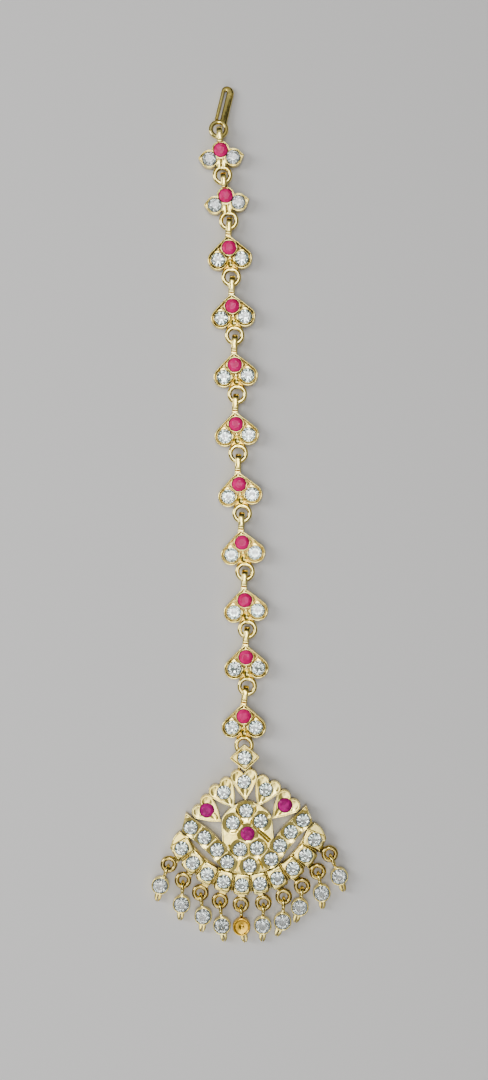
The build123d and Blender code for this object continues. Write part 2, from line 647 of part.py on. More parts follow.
def to_pendant(x, y):
    """A point of the whole piece, seen in the pendant's own frame."""
    angle = math.radians(-PENDANT_PLACE["turn"])
    dx, dy = x - PENDANT_PLACE["x"], y - PENDANT_PLACE["y"]
    return (
        dx * math.cos(angle) - dy * math.sin(angle),
        dx * math.sin(angle) + dy * math.cos(angle),
    )


# The diamond link's lower bail goes round the far side of this ring.
TOP_RING_CENTRE = to_pendant(
    DIAMOND_PLACE["x"] + 0.02, DIAMOND_PLACE["y"] + DIAMOND_LOWER_BAIL["y"] - TOP_RING_MEAN_R
)


# Drops --------------------------------------------------------------------------------------------


def drop(reach, bud_turn):
    """Bezel cup on a loop, with a split bud under it."""
    cup = Cylinder(BEZEL_R, BEZEL_RIM - BEZEL_BACK, align=(Align.CENTER, Align.CENTER, Align.MIN))
    metal = Pos(0, -reach, BEZEL_BACK) * cup
    loop = Rot(0, 90, 0) * Torus(DROP_LOOP_MEAN_R, DROP_LOOP_WIRE_R)
    metal = metal + Pos(0, -DROP_LOOP_OFFSET, DROP_LOOP_Z) * loop
    neck_top = DROP_LOOP_OFFSET + DROP_LOOP_MEAN_R
    neck_end = reach - BEZEL_R + DROP_NECK_SINK
    if neck_end > neck_top:
        neck_bar = Box(DROP_NECK_WIDTH, neck_end - neck_top, DROP_NECK_HEIGHT)
        metal = metal + Pos(0, -(neck_top + neck_end) / 2, DROP_LOOP_Z) * neck_bar
    bud_spot = Pos(0, -reach, 0) * Rot(0, 0, bud_turn) * Pos(0, -BEZEL_R, 0)
    groove = Rot(0, 45, 0) * Box(BUD_GROOVE, BUD_LENGTH, BUD_GROOVE)
    bud = prism(mirrored_face(BUD_OUTLINE), BUD_BACK, BUD_TOP)
    metal = metal + bud_spot * (bud - Pos(0, -BUD_LENGTH / 2, BUD_TOP) * groove)
    hollow = Cylinder(
        BEZEL_R - BEZEL_BACK_RIM, BEZEL_BACK_HOLLOW, align=(Align.CENTER, Align.CENTER, Align.MIN)
    )
    dimple = Cylinder(
        BEZEL_DIMPLE_R, BEZEL_DIMPLE_DEPTH, align=(Align.CENTER, Align.CENTER, Align.MIN)
    )
    metal = metal - Pos(0, -reach, BEZEL_BACK) * (hollow + dimple)
    return cut_seats(metal, [(0, -reach)], BEZEL_GIRDLE, DROP_STONE_D)


def drop_location(index):
    """Where a drop's ring is, and how the drop swings from it."""
    x, y = fan_point(DROP_RING_R, RING_ANGLES[index])
    ring = lying(PENDANT_PLACE) * Pos(x, y, 0)
    swing = DROPS[index]["swing"] - PENDANT_PLACE["turn"]
    spot = ring * Rot(0, 0, swing)
    if DROPS[index]["over"]:
        spot = spot * Pos(0, 0, DROP_LOOP_Z) * Rot(0, 180, 0) * Pos(0, 0, -DROP_LOOP_Z)
    return spot


# Assembly -----------------------------------------------------------------------------------------


def hook_location():
    """The hook's eye is inside the first loop and its bend dips to the floor."""
    place = HOOK_PLACE
    spot = Pos(place["x"], place["y"], place["level"])
    return spot * Rot(0, 0, place["turn"]) * Rot(-place["dip"], 0, 0)


def links(places, metal, points, metal_name, ruby_name, crystal_name):
    """Nodes of a row of like links: metal, ruby and the crystals beside it."""
    nodes = {}
    for number, place in enumerate(places, start=1):
        spot = lying(place)
        cut = stones_at(points, TRAY_GIRDLE)
        nodes[f"{metal_name}_{number}"] = spot * metal
        nodes[f"{ruby_name}_{number}"] = spot * cut[0]
        nodes[f"{crystal_name}_{number}"] = [spot * stone for stone in cut[1:]]
    return nodes


def pendant_nodes():
    """Nodes of the pendant: its frame and its groups of stones."""
    spot = lying(PENDANT_PLACE)
    groups = {
        "pendant_centre_ruby": [(0.0, 0.0)],
        "pendant_side_rubies": HEART_CENTRES[3:],
        "petal_crystals": HEART_CENTRES[:3],
        "lotus_crystals": LOTUS_ALL,
        "wing_crystals": WING_ALL,
        "crescent_crystals": CRESCENT_STONES,
    }
    nodes = {"pendant_frame": spot * pendant_frame()}
    for name, points in groups.items():
        nodes[name] = [spot * stone for stone in stones_at(points, PENDANT_GIRDLE)]
    return nodes


def drop_nodes():
    """Ten drops and the node that holds their stones."""
    nodes = {}
    stones = []
    for index, facts in enumerate(DROPS):
        spot = drop_location(index)
        nodes[f"drop_{index + 1}"] = spot * drop(facts["reach"], facts["bud"])
        stone = stones_at([(0, -facts["reach"])], BEZEL_GIRDLE, DROP_STONE_D)[0]
        stones.append(spot * stone)
    nodes["drop_crystals"] = stones
    return nodes


def all_nodes():
    """Every node of the piece, in the frame that the places above are given in."""
    nodes = {"hook": hook_location() * hook()}
    nodes.update(
        links(FLOWER_PLACES, flower_link(), FLOWER_STONES,
              "flower_link", "flower_ruby", "flower_crystals")
    )
    nodes.update(
        links(HEART_PLACES, heart_link(), HEART_STONES, "heart_link", "heart_ruby", "heart_crystals")
    )
    nodes["diamond_link"] = lying(DIAMOND_PLACE) * diamond_link()
    nodes["diamond_crystal"] = lying(DIAMOND_PLACE) * stones_at([(0, 0)], DIAMOND_GIRDLE)[0]
    nodes.update(pendant_nodes())
    nodes.update(drop_nodes())
    return nodes


def solids_of(shape):
    """The solids of a node, whether it is one shape or a list of them."""
    if isinstance(shape, list):
        return [solid for item in shape for solid in item.solids()]
    return list(shape.solids())


NODES = {name: Compound(children=solids_of(shape)) for name, shape in all_nodes().items()}
WHOLE = Compound(children=[Compound(solids_of(shape)) for shape in NODES.values()]).bounding_box()
ORIGIN = Pos(-WHOLE.center().X, -WHOLE.center().Y, -WHOLE.min.Z)

for name, shape in NODES.items():
    solids = [ORIGIN * solid for solid in shape.solids()]
    export_step(solids[0] if len(solids) == 1 else Compound(solids), f"parts/{name}.step")

print("size", WHOLE.size, "origin shift", ORIGIN.position)
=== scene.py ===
"""Maang tikka, dressed for the studio: polished gold, white brilliants and rubies on a pale floor.

Every length inside the classes is in millimetres; a piece is brought to metres as it is finished.
"""
import logging
import math
from dataclasses import dataclass
from enum import Enum
from typing import Sequence

import bmesh
import bpy
from bmesh.types import BMEdge, BMesh, BMFace, BMVert
from mathutils import Matrix, Vector


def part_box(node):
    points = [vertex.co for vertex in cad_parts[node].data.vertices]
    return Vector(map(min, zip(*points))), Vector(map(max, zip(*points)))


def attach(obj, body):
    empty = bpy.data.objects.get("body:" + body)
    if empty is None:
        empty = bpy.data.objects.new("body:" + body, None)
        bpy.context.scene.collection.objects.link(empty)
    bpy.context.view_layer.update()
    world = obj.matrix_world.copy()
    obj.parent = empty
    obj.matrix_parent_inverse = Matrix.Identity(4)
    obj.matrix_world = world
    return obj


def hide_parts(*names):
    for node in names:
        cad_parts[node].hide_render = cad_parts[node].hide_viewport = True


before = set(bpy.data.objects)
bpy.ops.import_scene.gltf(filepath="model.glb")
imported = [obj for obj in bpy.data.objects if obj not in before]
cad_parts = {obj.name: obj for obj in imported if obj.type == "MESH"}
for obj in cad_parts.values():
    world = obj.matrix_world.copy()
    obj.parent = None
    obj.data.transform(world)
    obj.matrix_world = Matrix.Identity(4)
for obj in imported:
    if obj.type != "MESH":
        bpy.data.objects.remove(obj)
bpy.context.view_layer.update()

Point = tuple[float, float]
Place = tuple[float, float, float]
Socket = bpy.types.NodeSocket
Colour = Place | Socket

LOG = logging.getLogger("tikka")
MM = 0.001
WELD = 1e-4
SHARP = math.radians(35)
CREASE = math.radians(38)
STONE = 2.5
DROP_STONE = 2.7


class Tone(Enum):
    """The gold that a shell of metal is finished in; its value is the material slot."""

    POLISHED = 0
    WIRE = 1
    BACK = 2


class Axis(Enum):
    """The axis that a section is turned about."""

    X = (1.0, 0.0, 0.0)
    Z = (0.0, 0.0, 1.0)


# Finishes


class Recipe:
    """A node tree under construction, with short ways to add and join nodes."""

    def __init__(self, name: str, **values: float | Place) -> None:
        """Starts a material.

        Args:
            name: The material's name.
            **values: Constants on the shader's own sockets.
        """
        self.material = bpy.data.materials.new(name)
        self.material.use_nodes = True
        self.tree = self.material.node_tree
        self.tree.nodes.clear()
        self.surface = self.node("BsdfPrincipled", **values)
        self.join(self.surface.outputs[0], self.node("OutputMaterial").inputs["Surface"])
        self.coords = self.node("TexCoord").outputs["Object"]

    def node(self, kind: str, **values: float | Place) -> bpy.types.Node:
        """Adds a node and sets constants on its sockets.

        Args:
            kind: The node's type.
            **values: Socket names, with underscores for spaces, and their values.

        Returns:
            The node.
        """
        node = self.tree.nodes.new(f"ShaderNode{kind}")
        for name, value in values.items():
            node.inputs[name.replace("_", " ")].default_value = value
        return node

    def join(self, start: Socket, end: Socket) -> None:
        """Links two sockets."""
        self.tree.links.new(start, end)

    def use(self, name: str, source: Socket) -> None:
        """Lets a pattern drive one of the surface's sockets."""
        self.join(source, self.surface.inputs[name])

    def noise(self, scale: float, detail: float = 3.0, stretch: Place = (1.0, 1.0, 1.0)) -> Socket:
        """Adds a cloudy pattern on object coordinates.

        Args:
            scale: Clouds per metre.
            detail: Octaves of finer clouds.
            stretch: How much the pattern is squeezed along each axis.

        Returns:
            The pattern's value, about 0 to 1.
        """
        stretched = self.node("Mapping", Scale=stretch)
        self.join(self.coords, stretched.inputs["Vector"])
        cloud = self.node("TexNoise", Scale=scale, Detail=detail)
        self.join(stretched.outputs[0], cloud.inputs["Vector"])
        return cloud.outputs["Fac"]

    def ramp(self, value: Socket, span: Point, result: Point) -> Socket:
        """Maps one range of a value on to another, clamped.

        Args:
            value: What is mapped.
            span: Start and end of the range that is read.
            result: What the start and the end become.

        Returns:
            The mapped value.
        """
        node = self.node("MapRange", From_Min=span[0], From_Max=span[1], To_Min=result[0], To_Max=result[1])
        self.join(value, node.inputs["Value"])
        return node.outputs["Result"]

    def blend(self, amount: Socket, first: Colour, second: Colour) -> Socket:
        """Blends two colours.

        Args:
            amount: 0 gives the first colour and 1 the second.
            first: A colour or a socket.
            second: A colour or a socket.

        Returns:
            The blended colour.
        """
        node = self.node("Mix")
        node.data_type = "RGBA"
        self.join(amount, node.inputs[0])
        for source, socket in ((first, node.inputs[6]), (second, node.inputs[7])):
            if isinstance(source, tuple):
                socket.default_value = (*source, 1.0)
            else:
                self.join(source, socket)
        return node.outputs[2]

    def openness(self, reach: float) -> Socket:
        """Adds the surface's openness to its surroundings.

        Args:
            reach: How far a wall is felt, in metres.

        Returns:
            1 on open metal, and less in a hollow; it drives the painted shade.
        """
        node = self.node("AmbientOcclusion", Distance=reach)
        node.samples = 8
        return node.outputs["AO"]

    def bump(self, height: Socket, depth: float, strength: float) -> None:
        """Lets a pattern raise and sink the surface slightly.

        Args:
            height: The pattern.
            depth: Its height in metres.
            strength: How strongly it shows.
        """
        node = self.node("Bump", Strength=strength, Distance=depth)
        self.join(height, node.inputs["Height"])
        self.use("Normal", node.outputs[0])


@dataclass(frozen=True)
class GoldFinish:
    """Gold plate with a soft unevenness from casting and polishing, and painted shade in its hollows."""

    name: str
    bright: Place  # freshly polished metal
    warm: Place  # where the plate is a little richer
    painted_shade: Place  # painted shade for grooves and corners, where walls close round the metal
    reach: float  # how far a wall casts painted shade on the metal beside it, in metres
    smooth: float  # roughness of the best polished spots
    worn: float  # roughness of the least polished spots

    # Patterns per metre, and the height of the finest in metres.
    CLOUDS = 420.0
    STREAKS = 1500.0
    GRAIN = 900.0
    GRAIN_DEPTH = 0.00006

    def material(self) -> bpy.types.Material:
        """Builds the finish.

        Returns:
            The material.
        """
        recipe = Recipe(self.name, Metallic=1.0, IOR=1.45)
        tint = recipe.ramp(recipe.noise(self.CLOUDS), (0.35, 0.65), (0.0, 1.0))
        plate = recipe.blend(tint, self.bright, self.warm)
        # Painted shade: ambient occlusion blends the recess colour into the plate where walls close in.
        shade = recipe.ramp(recipe.openness(self.reach), (0.15, 0.72), (1.0, 0.0))
        recipe.use("Base Color", recipe.blend(shade, plate, self.painted_shade))
        streaks = recipe.noise(self.STREAKS, detail=4.0, stretch=(1.0, 0.25, 1.0))
        recipe.use("Roughness", recipe.ramp(streaks, (0.3, 0.7), (self.smooth, self.worn)))
        recipe.bump(recipe.noise(self.GRAIN, detail=2.0), self.GRAIN_DEPTH, strength=0.50)
        return recipe.material


@dataclass(frozen=True)
class StoneFinish:
    """Cut stone with painted glints: patches of its colour are lighter or darker, standing in for facets
    that catch or miss the light.
    """

    name: str
    pale: Place  # painted glints, standing in for facets that send light back
    deep: Place  # painted dark reflections, standing in for facets that look dark
    clear: float  # share of the light that goes through
    index: float  # of refraction
    shine: float = 0.5  # how strongly the table mirrors the lights

    GLINTS = 900.0  # painted glint patches per metre

    def material(self) -> bpy.types.Material:
        """Builds the finish.

        Returns:
            The material.
        """
        recipe = Recipe(
            self.name, Roughness=0.02, IOR=self.index, Transmission_Weight=self.clear,
            Specular_IOR_Level=self.shine,
        )
        # Painted glints: patches of the pale and deep colours stand in for lit and dark facets.
        tone = recipe.ramp(recipe.noise(self.GLINTS, detail=2.0), (0.45, 0.55), (0.0, 1.0))
        recipe.use("Base Color", recipe.blend(tone, self.pale, self.deep))
        return recipe.material


@dataclass(frozen=True)
class FloorFinish:
    """Plain matt studio floor."""

    name: str = "studio_floor"
    colour: Place = (0.80, 0.79, 0.78)
    rough: float = 0.85

    def material(self) -> bpy.types.Material:
        """Builds the finish."""
        return Recipe(self.name, Roughness=self.rough, Base_Color=(*self.colour, 1.0)).material


# The recess colour of each gold is painted shade for its hollows.
GOLDS = (
    GoldFinish(
        "polished_gold", bright=(0.97, 0.82, 0.26), warm=(0.93, 0.71, 0.17), painted_shade=(0.16, 0.09, 0.015),
        reach=0.0009, smooth=0.06, worn=0.18,
    ),
    GoldFinish(
        "wire_gold", bright=(0.68, 0.52, 0.15), warm=(0.58, 0.42, 0.10), painted_shade=(0.16, 0.08, 0.01),
        reach=0.0008, smooth=0.10, worn=0.22,
    ),
    GoldFinish(
        "back_gold", bright=(0.82, 0.52, 0.06), warm=(0.68, 0.38, 0.03), painted_shade=(0.30, 0.12, 0.01),
        reach=0.0006, smooth=0.16, worn=0.30,
    ),
)
# The pale and deep colours of each stone are painted glints and painted dark reflections.
STONES = (
    StoneFinish("white_brilliant", (0.92, 0.98, 0.92), (0.56, 0.70, 0.63), clear=1.0, index=1.95),
    StoneFinish("milky_brilliant", (0.95, 0.99, 0.95), (0.74, 0.82, 0.79), clear=0.88, index=1.9),
    StoneFinish("pink_ruby", (0.98, 0.012, 0.24), (0.82, 0.008, 0.17), clear=0.10, index=1.6, shine=0.01),
    StoneFinish("magenta_ruby", (0.62, 0.012, 0.27), (0.40, 0.008, 0.17), clear=0.10, index=1.6, shine=0.02),
)


# The bench: what every piece is made with


def picked(items: Sequence, kind: type) -> list:
    """The items of one kind among what an operator has made."""
    return [item for item in items if isinstance(item, kind)]


class Scriber:
    """Draws a flat outline, line by line and arc by arc."""

    STEP = 9.0  # degrees

    def __init__(self, x: float, y: float) -> None:
        """Starts an outline at a point."""
        self.bm = bmesh.new()
        self.first = self.last = self.bm.verts.new((x, y, 0.0))

    def line(self, *points: Point) -> "Scriber":
        """Draws straight lines.

        Args:
            *points: Where each line ends.

        Returns:
            The scriber itself.
        """
        for x, y in points:
            self.last = bmesh.ops.extrude_vert_indiv(self.bm, verts=[self.last])["verts"][0]
            self.last.co = (x, y, 0.0)
        return self

    def arc(self, centre: Point, degrees: float) -> "Scriber":
        """Draws an arc from the last point.

        Args:
            centre: The arc's centre.
            degrees: How far it goes round, positive when anticlockwise.

        Returns:
            The scriber itself.
        """
        made = bmesh.ops.spin(
            self.bm, geom=[self.last], cent=(*centre, 0.0), axis=Axis.Z.value,
            angle=math.radians(degrees), steps=max(2, round(abs(degrees) / self.STEP)),
            use_duplicate=False,
        )
        self.last = picked(made["geom_last"], BMVert)[0]
        return self

    def mirror(self) -> "Scriber":
        """Adds the outline's mirror image in the YZ plane and welds the two halves.

        Returns:
            The scriber itself.
        """
        bmesh.ops.mirror(self.bm, geom=self.bm.verts[:] + self.bm.edges[:], axis="X", merge_dist=WELD)
        bmesh.ops.remove_doubles(self.bm, verts=self.bm.verts, dist=WELD)
        return self

    def plate(self) -> BMesh:
        """Closes the outline and fills it.

        Returns:
            A mesh of one flat face that looks up.
        """
        if self.last.is_valid and self.last is not self.first and len(self.last.link_edges) == 1:
            self.bm.edges.new((self.last, self.first))
        bmesh.ops.remove_doubles(self.bm, verts=self.bm.verts, dist=WELD)
        face = filled(self.bm).faces[:][0]
        face.normal_update()
        if face.normal.z < 0:
            face.normal_flip()
        return self.bm


def filled(outline: BMesh) -> BMesh:
    """Fills an outline with one face."""
    bmesh.ops.contextual_create(outline, geom=outline.edges[:])
    return outline


def plate_of(*points: Point) -> BMesh:
    """Draws a plate with straight sides."""
    return Scriber(*points[0]).line(*points[1:]).plate()


def oblong(half: float, low: float, high: float) -> BMesh:
    """Draws an oblong plate that is centred on the Y axis."""
    return plate_of((-half, low), (half, low), (half, high), (-half, high))


def sided(side: int, *points: Point) -> list[Point]:
    """Points for the right side, 1, or mirrored for the left side, -1."""
    return [(side * x, y) for x, y in points]


def arc_middle(start: Point, end: Point, through: Point) -> Point:
    """Finds the centre of the circle through three points.

    Args:
        start: Where an arc starts.
        end: Where it ends.
        through: A point between them.

    Returns:
        The centre.
    """
    (ax, ay), (bx, by), (cx, cy) = start, through, end
    a, b, c = (x**2 + y**2 for x, y in (start, through, end))
    twice = 2 * (ax * (by - cy) + bx * (cy - ay) + cx * (ay - by))
    x = (a * (by - cy) + b * (cy - ay) + c * (ay - by)) / twice
    y = (a * (cx - bx) + b * (ax - cx) + c * (bx - ax)) / twice
    return (x, y)


def sweep_between(centre: Point, start: Point, end: Point) -> float:
    """The shorter turn from one point to another about a centre, in degrees."""
    first, second = (math.atan2(y - centre[1], x - centre[0]) for x, y in (start, end))
    return (math.degrees(second - first) + 180) % 360 - 180


def spot(x: float, y: float, turn: float = 0.0, z: float = 0.0) -> Matrix:
    """Where a shell goes: a place and a turn about the vertical."""
    return Matrix.Translation((x, y, z)) @ Matrix.Rotation(math.radians(turn), 4, "Z")


def round_corners(plate: BMesh, radius: float, segments: int = 4) -> BMesh:
    """Rounds every corner of a flat plate."""
    bmesh.ops.bevel(
        plate, geom=plate.verts[:], affect="VERTICES", offset=radius, offset_type="OFFSET",
        segments=segments, profile=0.5, material=-1,
    )
    return plate


def soften(shell: BMesh, lowest: float, highest: float, width: float, segments: int = 3) -> None:
    """Rounds the sharp edges of a shell.

    Args:
        shell: The shell.
        lowest: Where such edges start, in height.
        highest: Where they end.
        width: Width of the rounding.
        segments: Facets of the rounding.
    """
    edges = [
        edge
        for edge in shell.edges
        if all(lowest - WELD < vert.co.z < highest + WELD for vert in edge.verts)
        and len(edge.link_faces) == 2
        and edge.calc_face_angle(0.0) > SHARP
    ]
    bmesh.ops.bevel(
        shell, geom=edges, affect="EDGES", offset=width, offset_type="OFFSET", segments=segments,
        profile=0.5, clamp_overlap=False, loop_slide=True, material=-1,
    )


def sink_walls(plate: BMesh, depth: float) -> None:
    """Closes a plate into a solid, with walls down from its outer edge and a base.

    Args:
        plate: The plate.
        depth: Height of the walls.
    """
    rim = [edge for edge in plate.edges if edge.is_boundary]
    made = bmesh.ops.extrude_edge_only(plate, edges=rim)["geom"]
    low = set(picked(made, BMVert))
    bmesh.ops.translate(plate, verts=list(low), vec=(0, 0, -depth))
    foot = [edge for edge in picked(made, BMEdge) if low.issuperset(edge.verts)]
    bmesh.ops.contextual_create(plate, geom=foot)
    bmesh.ops.recalc_face_normals(plate, faces=plate.faces)


def block(plate: BMesh, bottom: float, top: float, soft: float) -> BMesh:
    """Raises a flat plate into a solid.

    Args:
        plate: A mesh of one face.
        bottom: Height of its underside.
        top: Height of its upper face.
        soft: Rounding of its edges.

    Returns:
        The plate's mesh, now closed.
    """
    bmesh.ops.translate(plate, verts=plate.verts, vec=(0, 0, top))
    sink_walls(plate, top - bottom)
    if soft:
        soften(plate, bottom, top, soft)
    return plate


def section(width: float, height: float, corner: float) -> BMesh:
    """Draws a rounded oblong in the XZ plane.

    Args:
        width: Its width.
        height: Its height.
        corner: Rounding of its corners.

    Returns:
        The outline, not filled.
    """
    bm = bmesh.new()
    signs = ((-1, -1), (1, -1), (1, 1), (-1, 1))
    bm.faces.new([bm.verts.new((x * width / 2, 0, z * height / 2)) for x, z in signs])
    round_corners(bm, corner)
    bmesh.ops.delete(bm, geom=bm.faces[:], context="FACES_ONLY")
    return bm


def spun(outline: BMesh, axis: Axis, steps: int) -> BMesh:
    """Turns an outline once round an axis into a closed solid.

    Args:
        outline: The outline.
        axis: The axis.
        steps: Steps round the solid.

    Returns:
        The outline's mesh, now closed.
    """
    bmesh.ops.spin(
        outline, geom=outline.verts[:] + outline.edges[:], cent=(0, 0, 0), axis=axis.value,
        angle=math.tau, steps=steps, use_merge=True, use_duplicate=False,
    )
    bmesh.ops.remove_doubles(outline, verts=outline.verts, dist=WELD)
    bmesh.ops.recalc_face_normals(outline, faces=outline.faces)
    return outline


def turned(outline: BMesh, out: float, axis: Axis = Axis.Z) -> BMesh:
    """Turns an outline into a ring.

    Args:
        outline: The outline in the XZ plane, round its own middle.
        out: Distance from the axis to the outline's middle.
        axis: The ring's axis.

    Returns:
        The closed ring.
    """
    push = (out, 0, 0) if axis is Axis.Z else (0, 0, out)
    bmesh.ops.translate(outline, verts=outline.verts, vec=push)
    return spun(outline, axis, steps=40)


def lathed(profile: Sequence[Point], steps: int = 32) -> BMesh:
    """Turns a profile that starts and ends on the Z axis into a solid.

    Args:
        profile: Radius and height of each point.
        steps: Steps round the solid.

    Returns:
        The closed solid.
    """
    bm = bmesh.new()
    verts = [bm.verts.new((radius, 0, height)) for radius, height in profile]
    for pair in zip(verts, verts[1:]):
        bm.edges.new(pair)
    return spun(bm, Axis.Z, steps)


def wire_ring(mean_r: float, wire_r: float, axis: Axis = Axis.Z) -> BMesh:
    """Makes a ring of round wire.

    Args:
        mean_r: Radius of its middle line.
        wire_r: Radius of the wire.
        axis: The ring's axis.

    Returns:
        The closed ring.
    """
    bm = bmesh.new()
    upright = Matrix.Rotation(math.pi / 2, 4, "X")
    bmesh.ops.create_circle(bm, segments=16, radius=wire_r, matrix=upright)
    return turned(bm, mean_r, axis)


def bar(start: Point, end: Point, level: float, width: float, height: float, roll: float = 0.0) -> BMesh:
    """Makes a straight bar of oblong section.

    Args:
        start: Where it starts.
        end: Where it ends.
        level: Height of its middle.
        width: Its width.
        height: Its height.
        roll: Its turn about its own length, in degrees.

    Returns:
        The closed bar.
    """
    along = Vector(end) - Vector(start)
    middle = Matrix.Translation(((start[0] + end[0]) / 2, (start[1] + end[1]) / 2, level))
    turn = Matrix.Rotation(math.atan2(along.y, along.x), 4, "Z")
    turn = turn @ Matrix.Rotation(math.radians(roll), 4, "X")
    bm = bmesh.new()
    size = Matrix.Diagonal((along.length, width, height, 1.0))
    bmesh.ops.create_cube(bm, size=1.0, matrix=middle @ turn @ size)
    return bm


def ridge(start: Point, end: Point, bottom: float, top: float, width: float) -> BMesh:
    """Makes a thin straight wall with a rounded top.

    Args:
        start: Where it starts.
        end: Where it ends.
        bottom: Height of its foot.
        top: Height of its crest.
        width: Its thickness.

    Returns:
        The closed wall.
    """
    wall = bar(start, end, (bottom + top) / 2, width, top - bottom)
    soften(wall, top, top, width * 0.42)
    return wall


def groove(start: Point, end: Point, level: float, width: float) -> BMesh:
    """Makes what is cut for a straight V-shaped groove of a width, in a face at a level."""
    side = width / math.sqrt(2)
    return bar(start, end, level, side, side, roll=45.0)


def scoop(half_width: float, half_length: float, depth: float) -> BMesh:
    """Makes what is cut to hollow a face out like the bowl of a spoon.

    Args:
        half_width: Half the hollow's width along X, on the face.
        half_length: Half its length along Y.
        depth: How deep it goes below the face, which is at height 0.

    Returns:
        The closed tool.
    """
    bm = bmesh.new()
    bmesh.ops.create_uvsphere(bm, u_segments=32, v_segments=20, radius=1.0)
    height = 1.2
    share = math.sqrt(1 - ((height - depth) / height) ** 2)
    bmesh.ops.scale(bm, verts=bm.verts, vec=(half_width / share, half_length / share, height))
    bmesh.ops.translate(bm, verts=bm.verts, vec=(0, 0, height - depth))
    return bm


class Wire:
    """A section that is drawn along straight runs and round bends."""

    def __init__(self, plate: BMesh) -> None:
        """Starts with the section as a mesh of one face."""
        self.bm = plate
        self.start = self.end = plate.faces[:]

    def free_end(self) -> list:
        """The faces, edges and vertices of the section's free end."""
        parts = {part for face in self.end for part in (*face.edges, *face.verts)}
        return self.end + list(parts)

    def run(self, way: Place) -> "Wire":
        """Draws the section straight on.

        Args:
            way: How far, and where to.

        Returns:
            The wire itself.
        """
        made = bmesh.ops.extrude_face_region(self.bm, geom=self.free_end())["geom"]
        bmesh.ops.translate(self.bm, verts=picked(made, BMVert), vec=way)
        self.end = picked(made, BMFace)
        return self

    def bend(self, centre: Place, axis: Axis, degrees: float, steps: int) -> "Wire":
        """Draws the section round a bend.

        Args:
            centre: A point on the bend's axis.
            axis: The bend's axis.
            degrees: How far it goes round.
            steps: Steps round the bend.

        Returns:
            The wire itself.
        """
        made = bmesh.ops.spin(
            self.bm, geom=self.free_end(), cent=centre, axis=axis.value,
            angle=math.radians(degrees), steps=steps, use_duplicate=False,
        )
        self.end = picked(made["geom_last"], BMFace)
        return self

    def ring(self) -> BMesh:
        """Joins the free end to the start.

        Returns:
            The closed ring.
        """
        bmesh.ops.delete(self.bm, geom=self.end, context="FACES_ONLY")
        bmesh.ops.delete(self.bm, geom=self.start, context="FACES_ONLY")
        bmesh.ops.remove_doubles(self.bm, verts=self.bm.verts, dist=WELD * 10)
        return self.solid()

    def solid(self) -> BMesh:
        """Turns its faces outwards and gives the closed wire."""
        bmesh.ops.recalc_face_normals(self.bm, faces=self.bm.faces)
        return self.bm


@dataclass(frozen=True)
class Tray:
    """A solid tray with a thin, soft-edged wall round it."""

    back: float
    deck: float
    rim: float
    wall: float
    soft: float
    groove: float = 0.0  # depth of a fine groove along the middle of the wall

    DRAFT = 0.03  # how far the inside of the wall leans
    FLANK = 0.02  # width of each side of the fine groove
    BED = 0.06  # width of its bottom

    def raised(self, plate: BMesh) -> BMesh:
        """Makes the tray from its outline.

        Args:
            plate: A mesh of one flat face.

        Returns:
            The closed tray.
        """
        floor = plate.faces[:][0]
        steps = [(self.wall, 0.0)]
        if self.groove:
            side = (self.wall - 2 * self.FLANK - self.BED) / 2
            steps = [(side, 0.0), (self.FLANK, -self.groove), (self.BED, 0.0)]
            steps += [(self.FLANK, self.groove), (side, 0.0)]
        for inward, rise in (*steps, (self.DRAFT, self.deck - self.rim)):
            bmesh.ops.inset_region(
                plate, faces=[floor], thickness=inward, use_boundary=True, use_even_offset=True
            )
            bmesh.ops.translate(plate, verts=floor.verts[:], vec=(0, 0, rise))
        bmesh.ops.translate(plate, verts=plate.verts, vec=(0, 0, self.rim))
        sink_walls(plate, self.rim - self.back)
        soften(plate, self.rim, self.rim, self.soft)
        soften(plate, self.back, self.back, self.soft, segments=2)
        return plate


@dataclass(frozen=True)
class Collet:
    """The round collar and the seat under it that one brilliant is set in."""

    diameter: float
    girdle: float  # height of the stone's girdle
    foot: float
    top: float
    wall: float
    flare: float = 0.0  # width of the slope cut round the stone

    GAP = 0.05  # round the stone
    GIRDLE = 0.02  # share of the diameter
    PAVILION = 0.42  # share of the diameter
    SLOPE = 0.17  # rise of the flare
    LIP = 0.02
    CHAMFER = 0.03
    ABOVE = 0.6  # how far the tool stands out
    SOFT = 0.38  # rounding, as a share of the wall
    MID = 0.3  # where the rounding turns, as a share of it

    def shell(self) -> BMesh:
        """Makes the collar as a solid plug with a rounded edge.

        Returns:
            The closed plug.
        """
        outer, soft = self.diameter / 2 + self.GAP + self.wall, self.wall * self.SOFT
        return lathed([
            (0.0, self.top), (outer - soft, self.top), (outer - soft * self.MID, self.top - soft * self.MID),
            (outer, self.top - soft), (outer, self.foot), (0.0, self.foot),
        ])

    def seat(self) -> BMesh:
        """Makes what is cut for the stone: a cone, a bore, and a mouth that is rounded or flared.

        Returns:
            The closed tool.
        """
        inner, above = self.diameter / 2 + self.GAP, self.top + self.ABOVE
        ledge = self.girdle - self.diameter * self.GIRDLE - self.GAP
        tip = ledge - self.diameter * self.PAVILION
        bore = [(0.0, tip), (inner - self.LIP, ledge), (inner, ledge + self.CHAMFER)]
        if self.flare:
            edge, lip = inner + self.flare, self.girdle - self.LIP
            mouth = [(inner, lip), (edge, lip + self.flare * self.SLOPE)]
        else:
            soft = self.wall * self.SOFT
            edge = inner + soft
            mouth = [
                (inner, self.top - soft), (inner + soft * self.MID, self.top - soft * self.MID),
                (edge, self.top + WELD * 10),
            ]
        return lathed([*bore, *mouth, (edge, above), (0.0, above)])

    def fit(self, metal: "Workpiece", point: Point) -> None:
        """Adds the collar to a piece at a point, and cuts its seat."""
        metal.add(self.shell(), spot(*point))
        metal.cut(self.seat(), spot(*point))


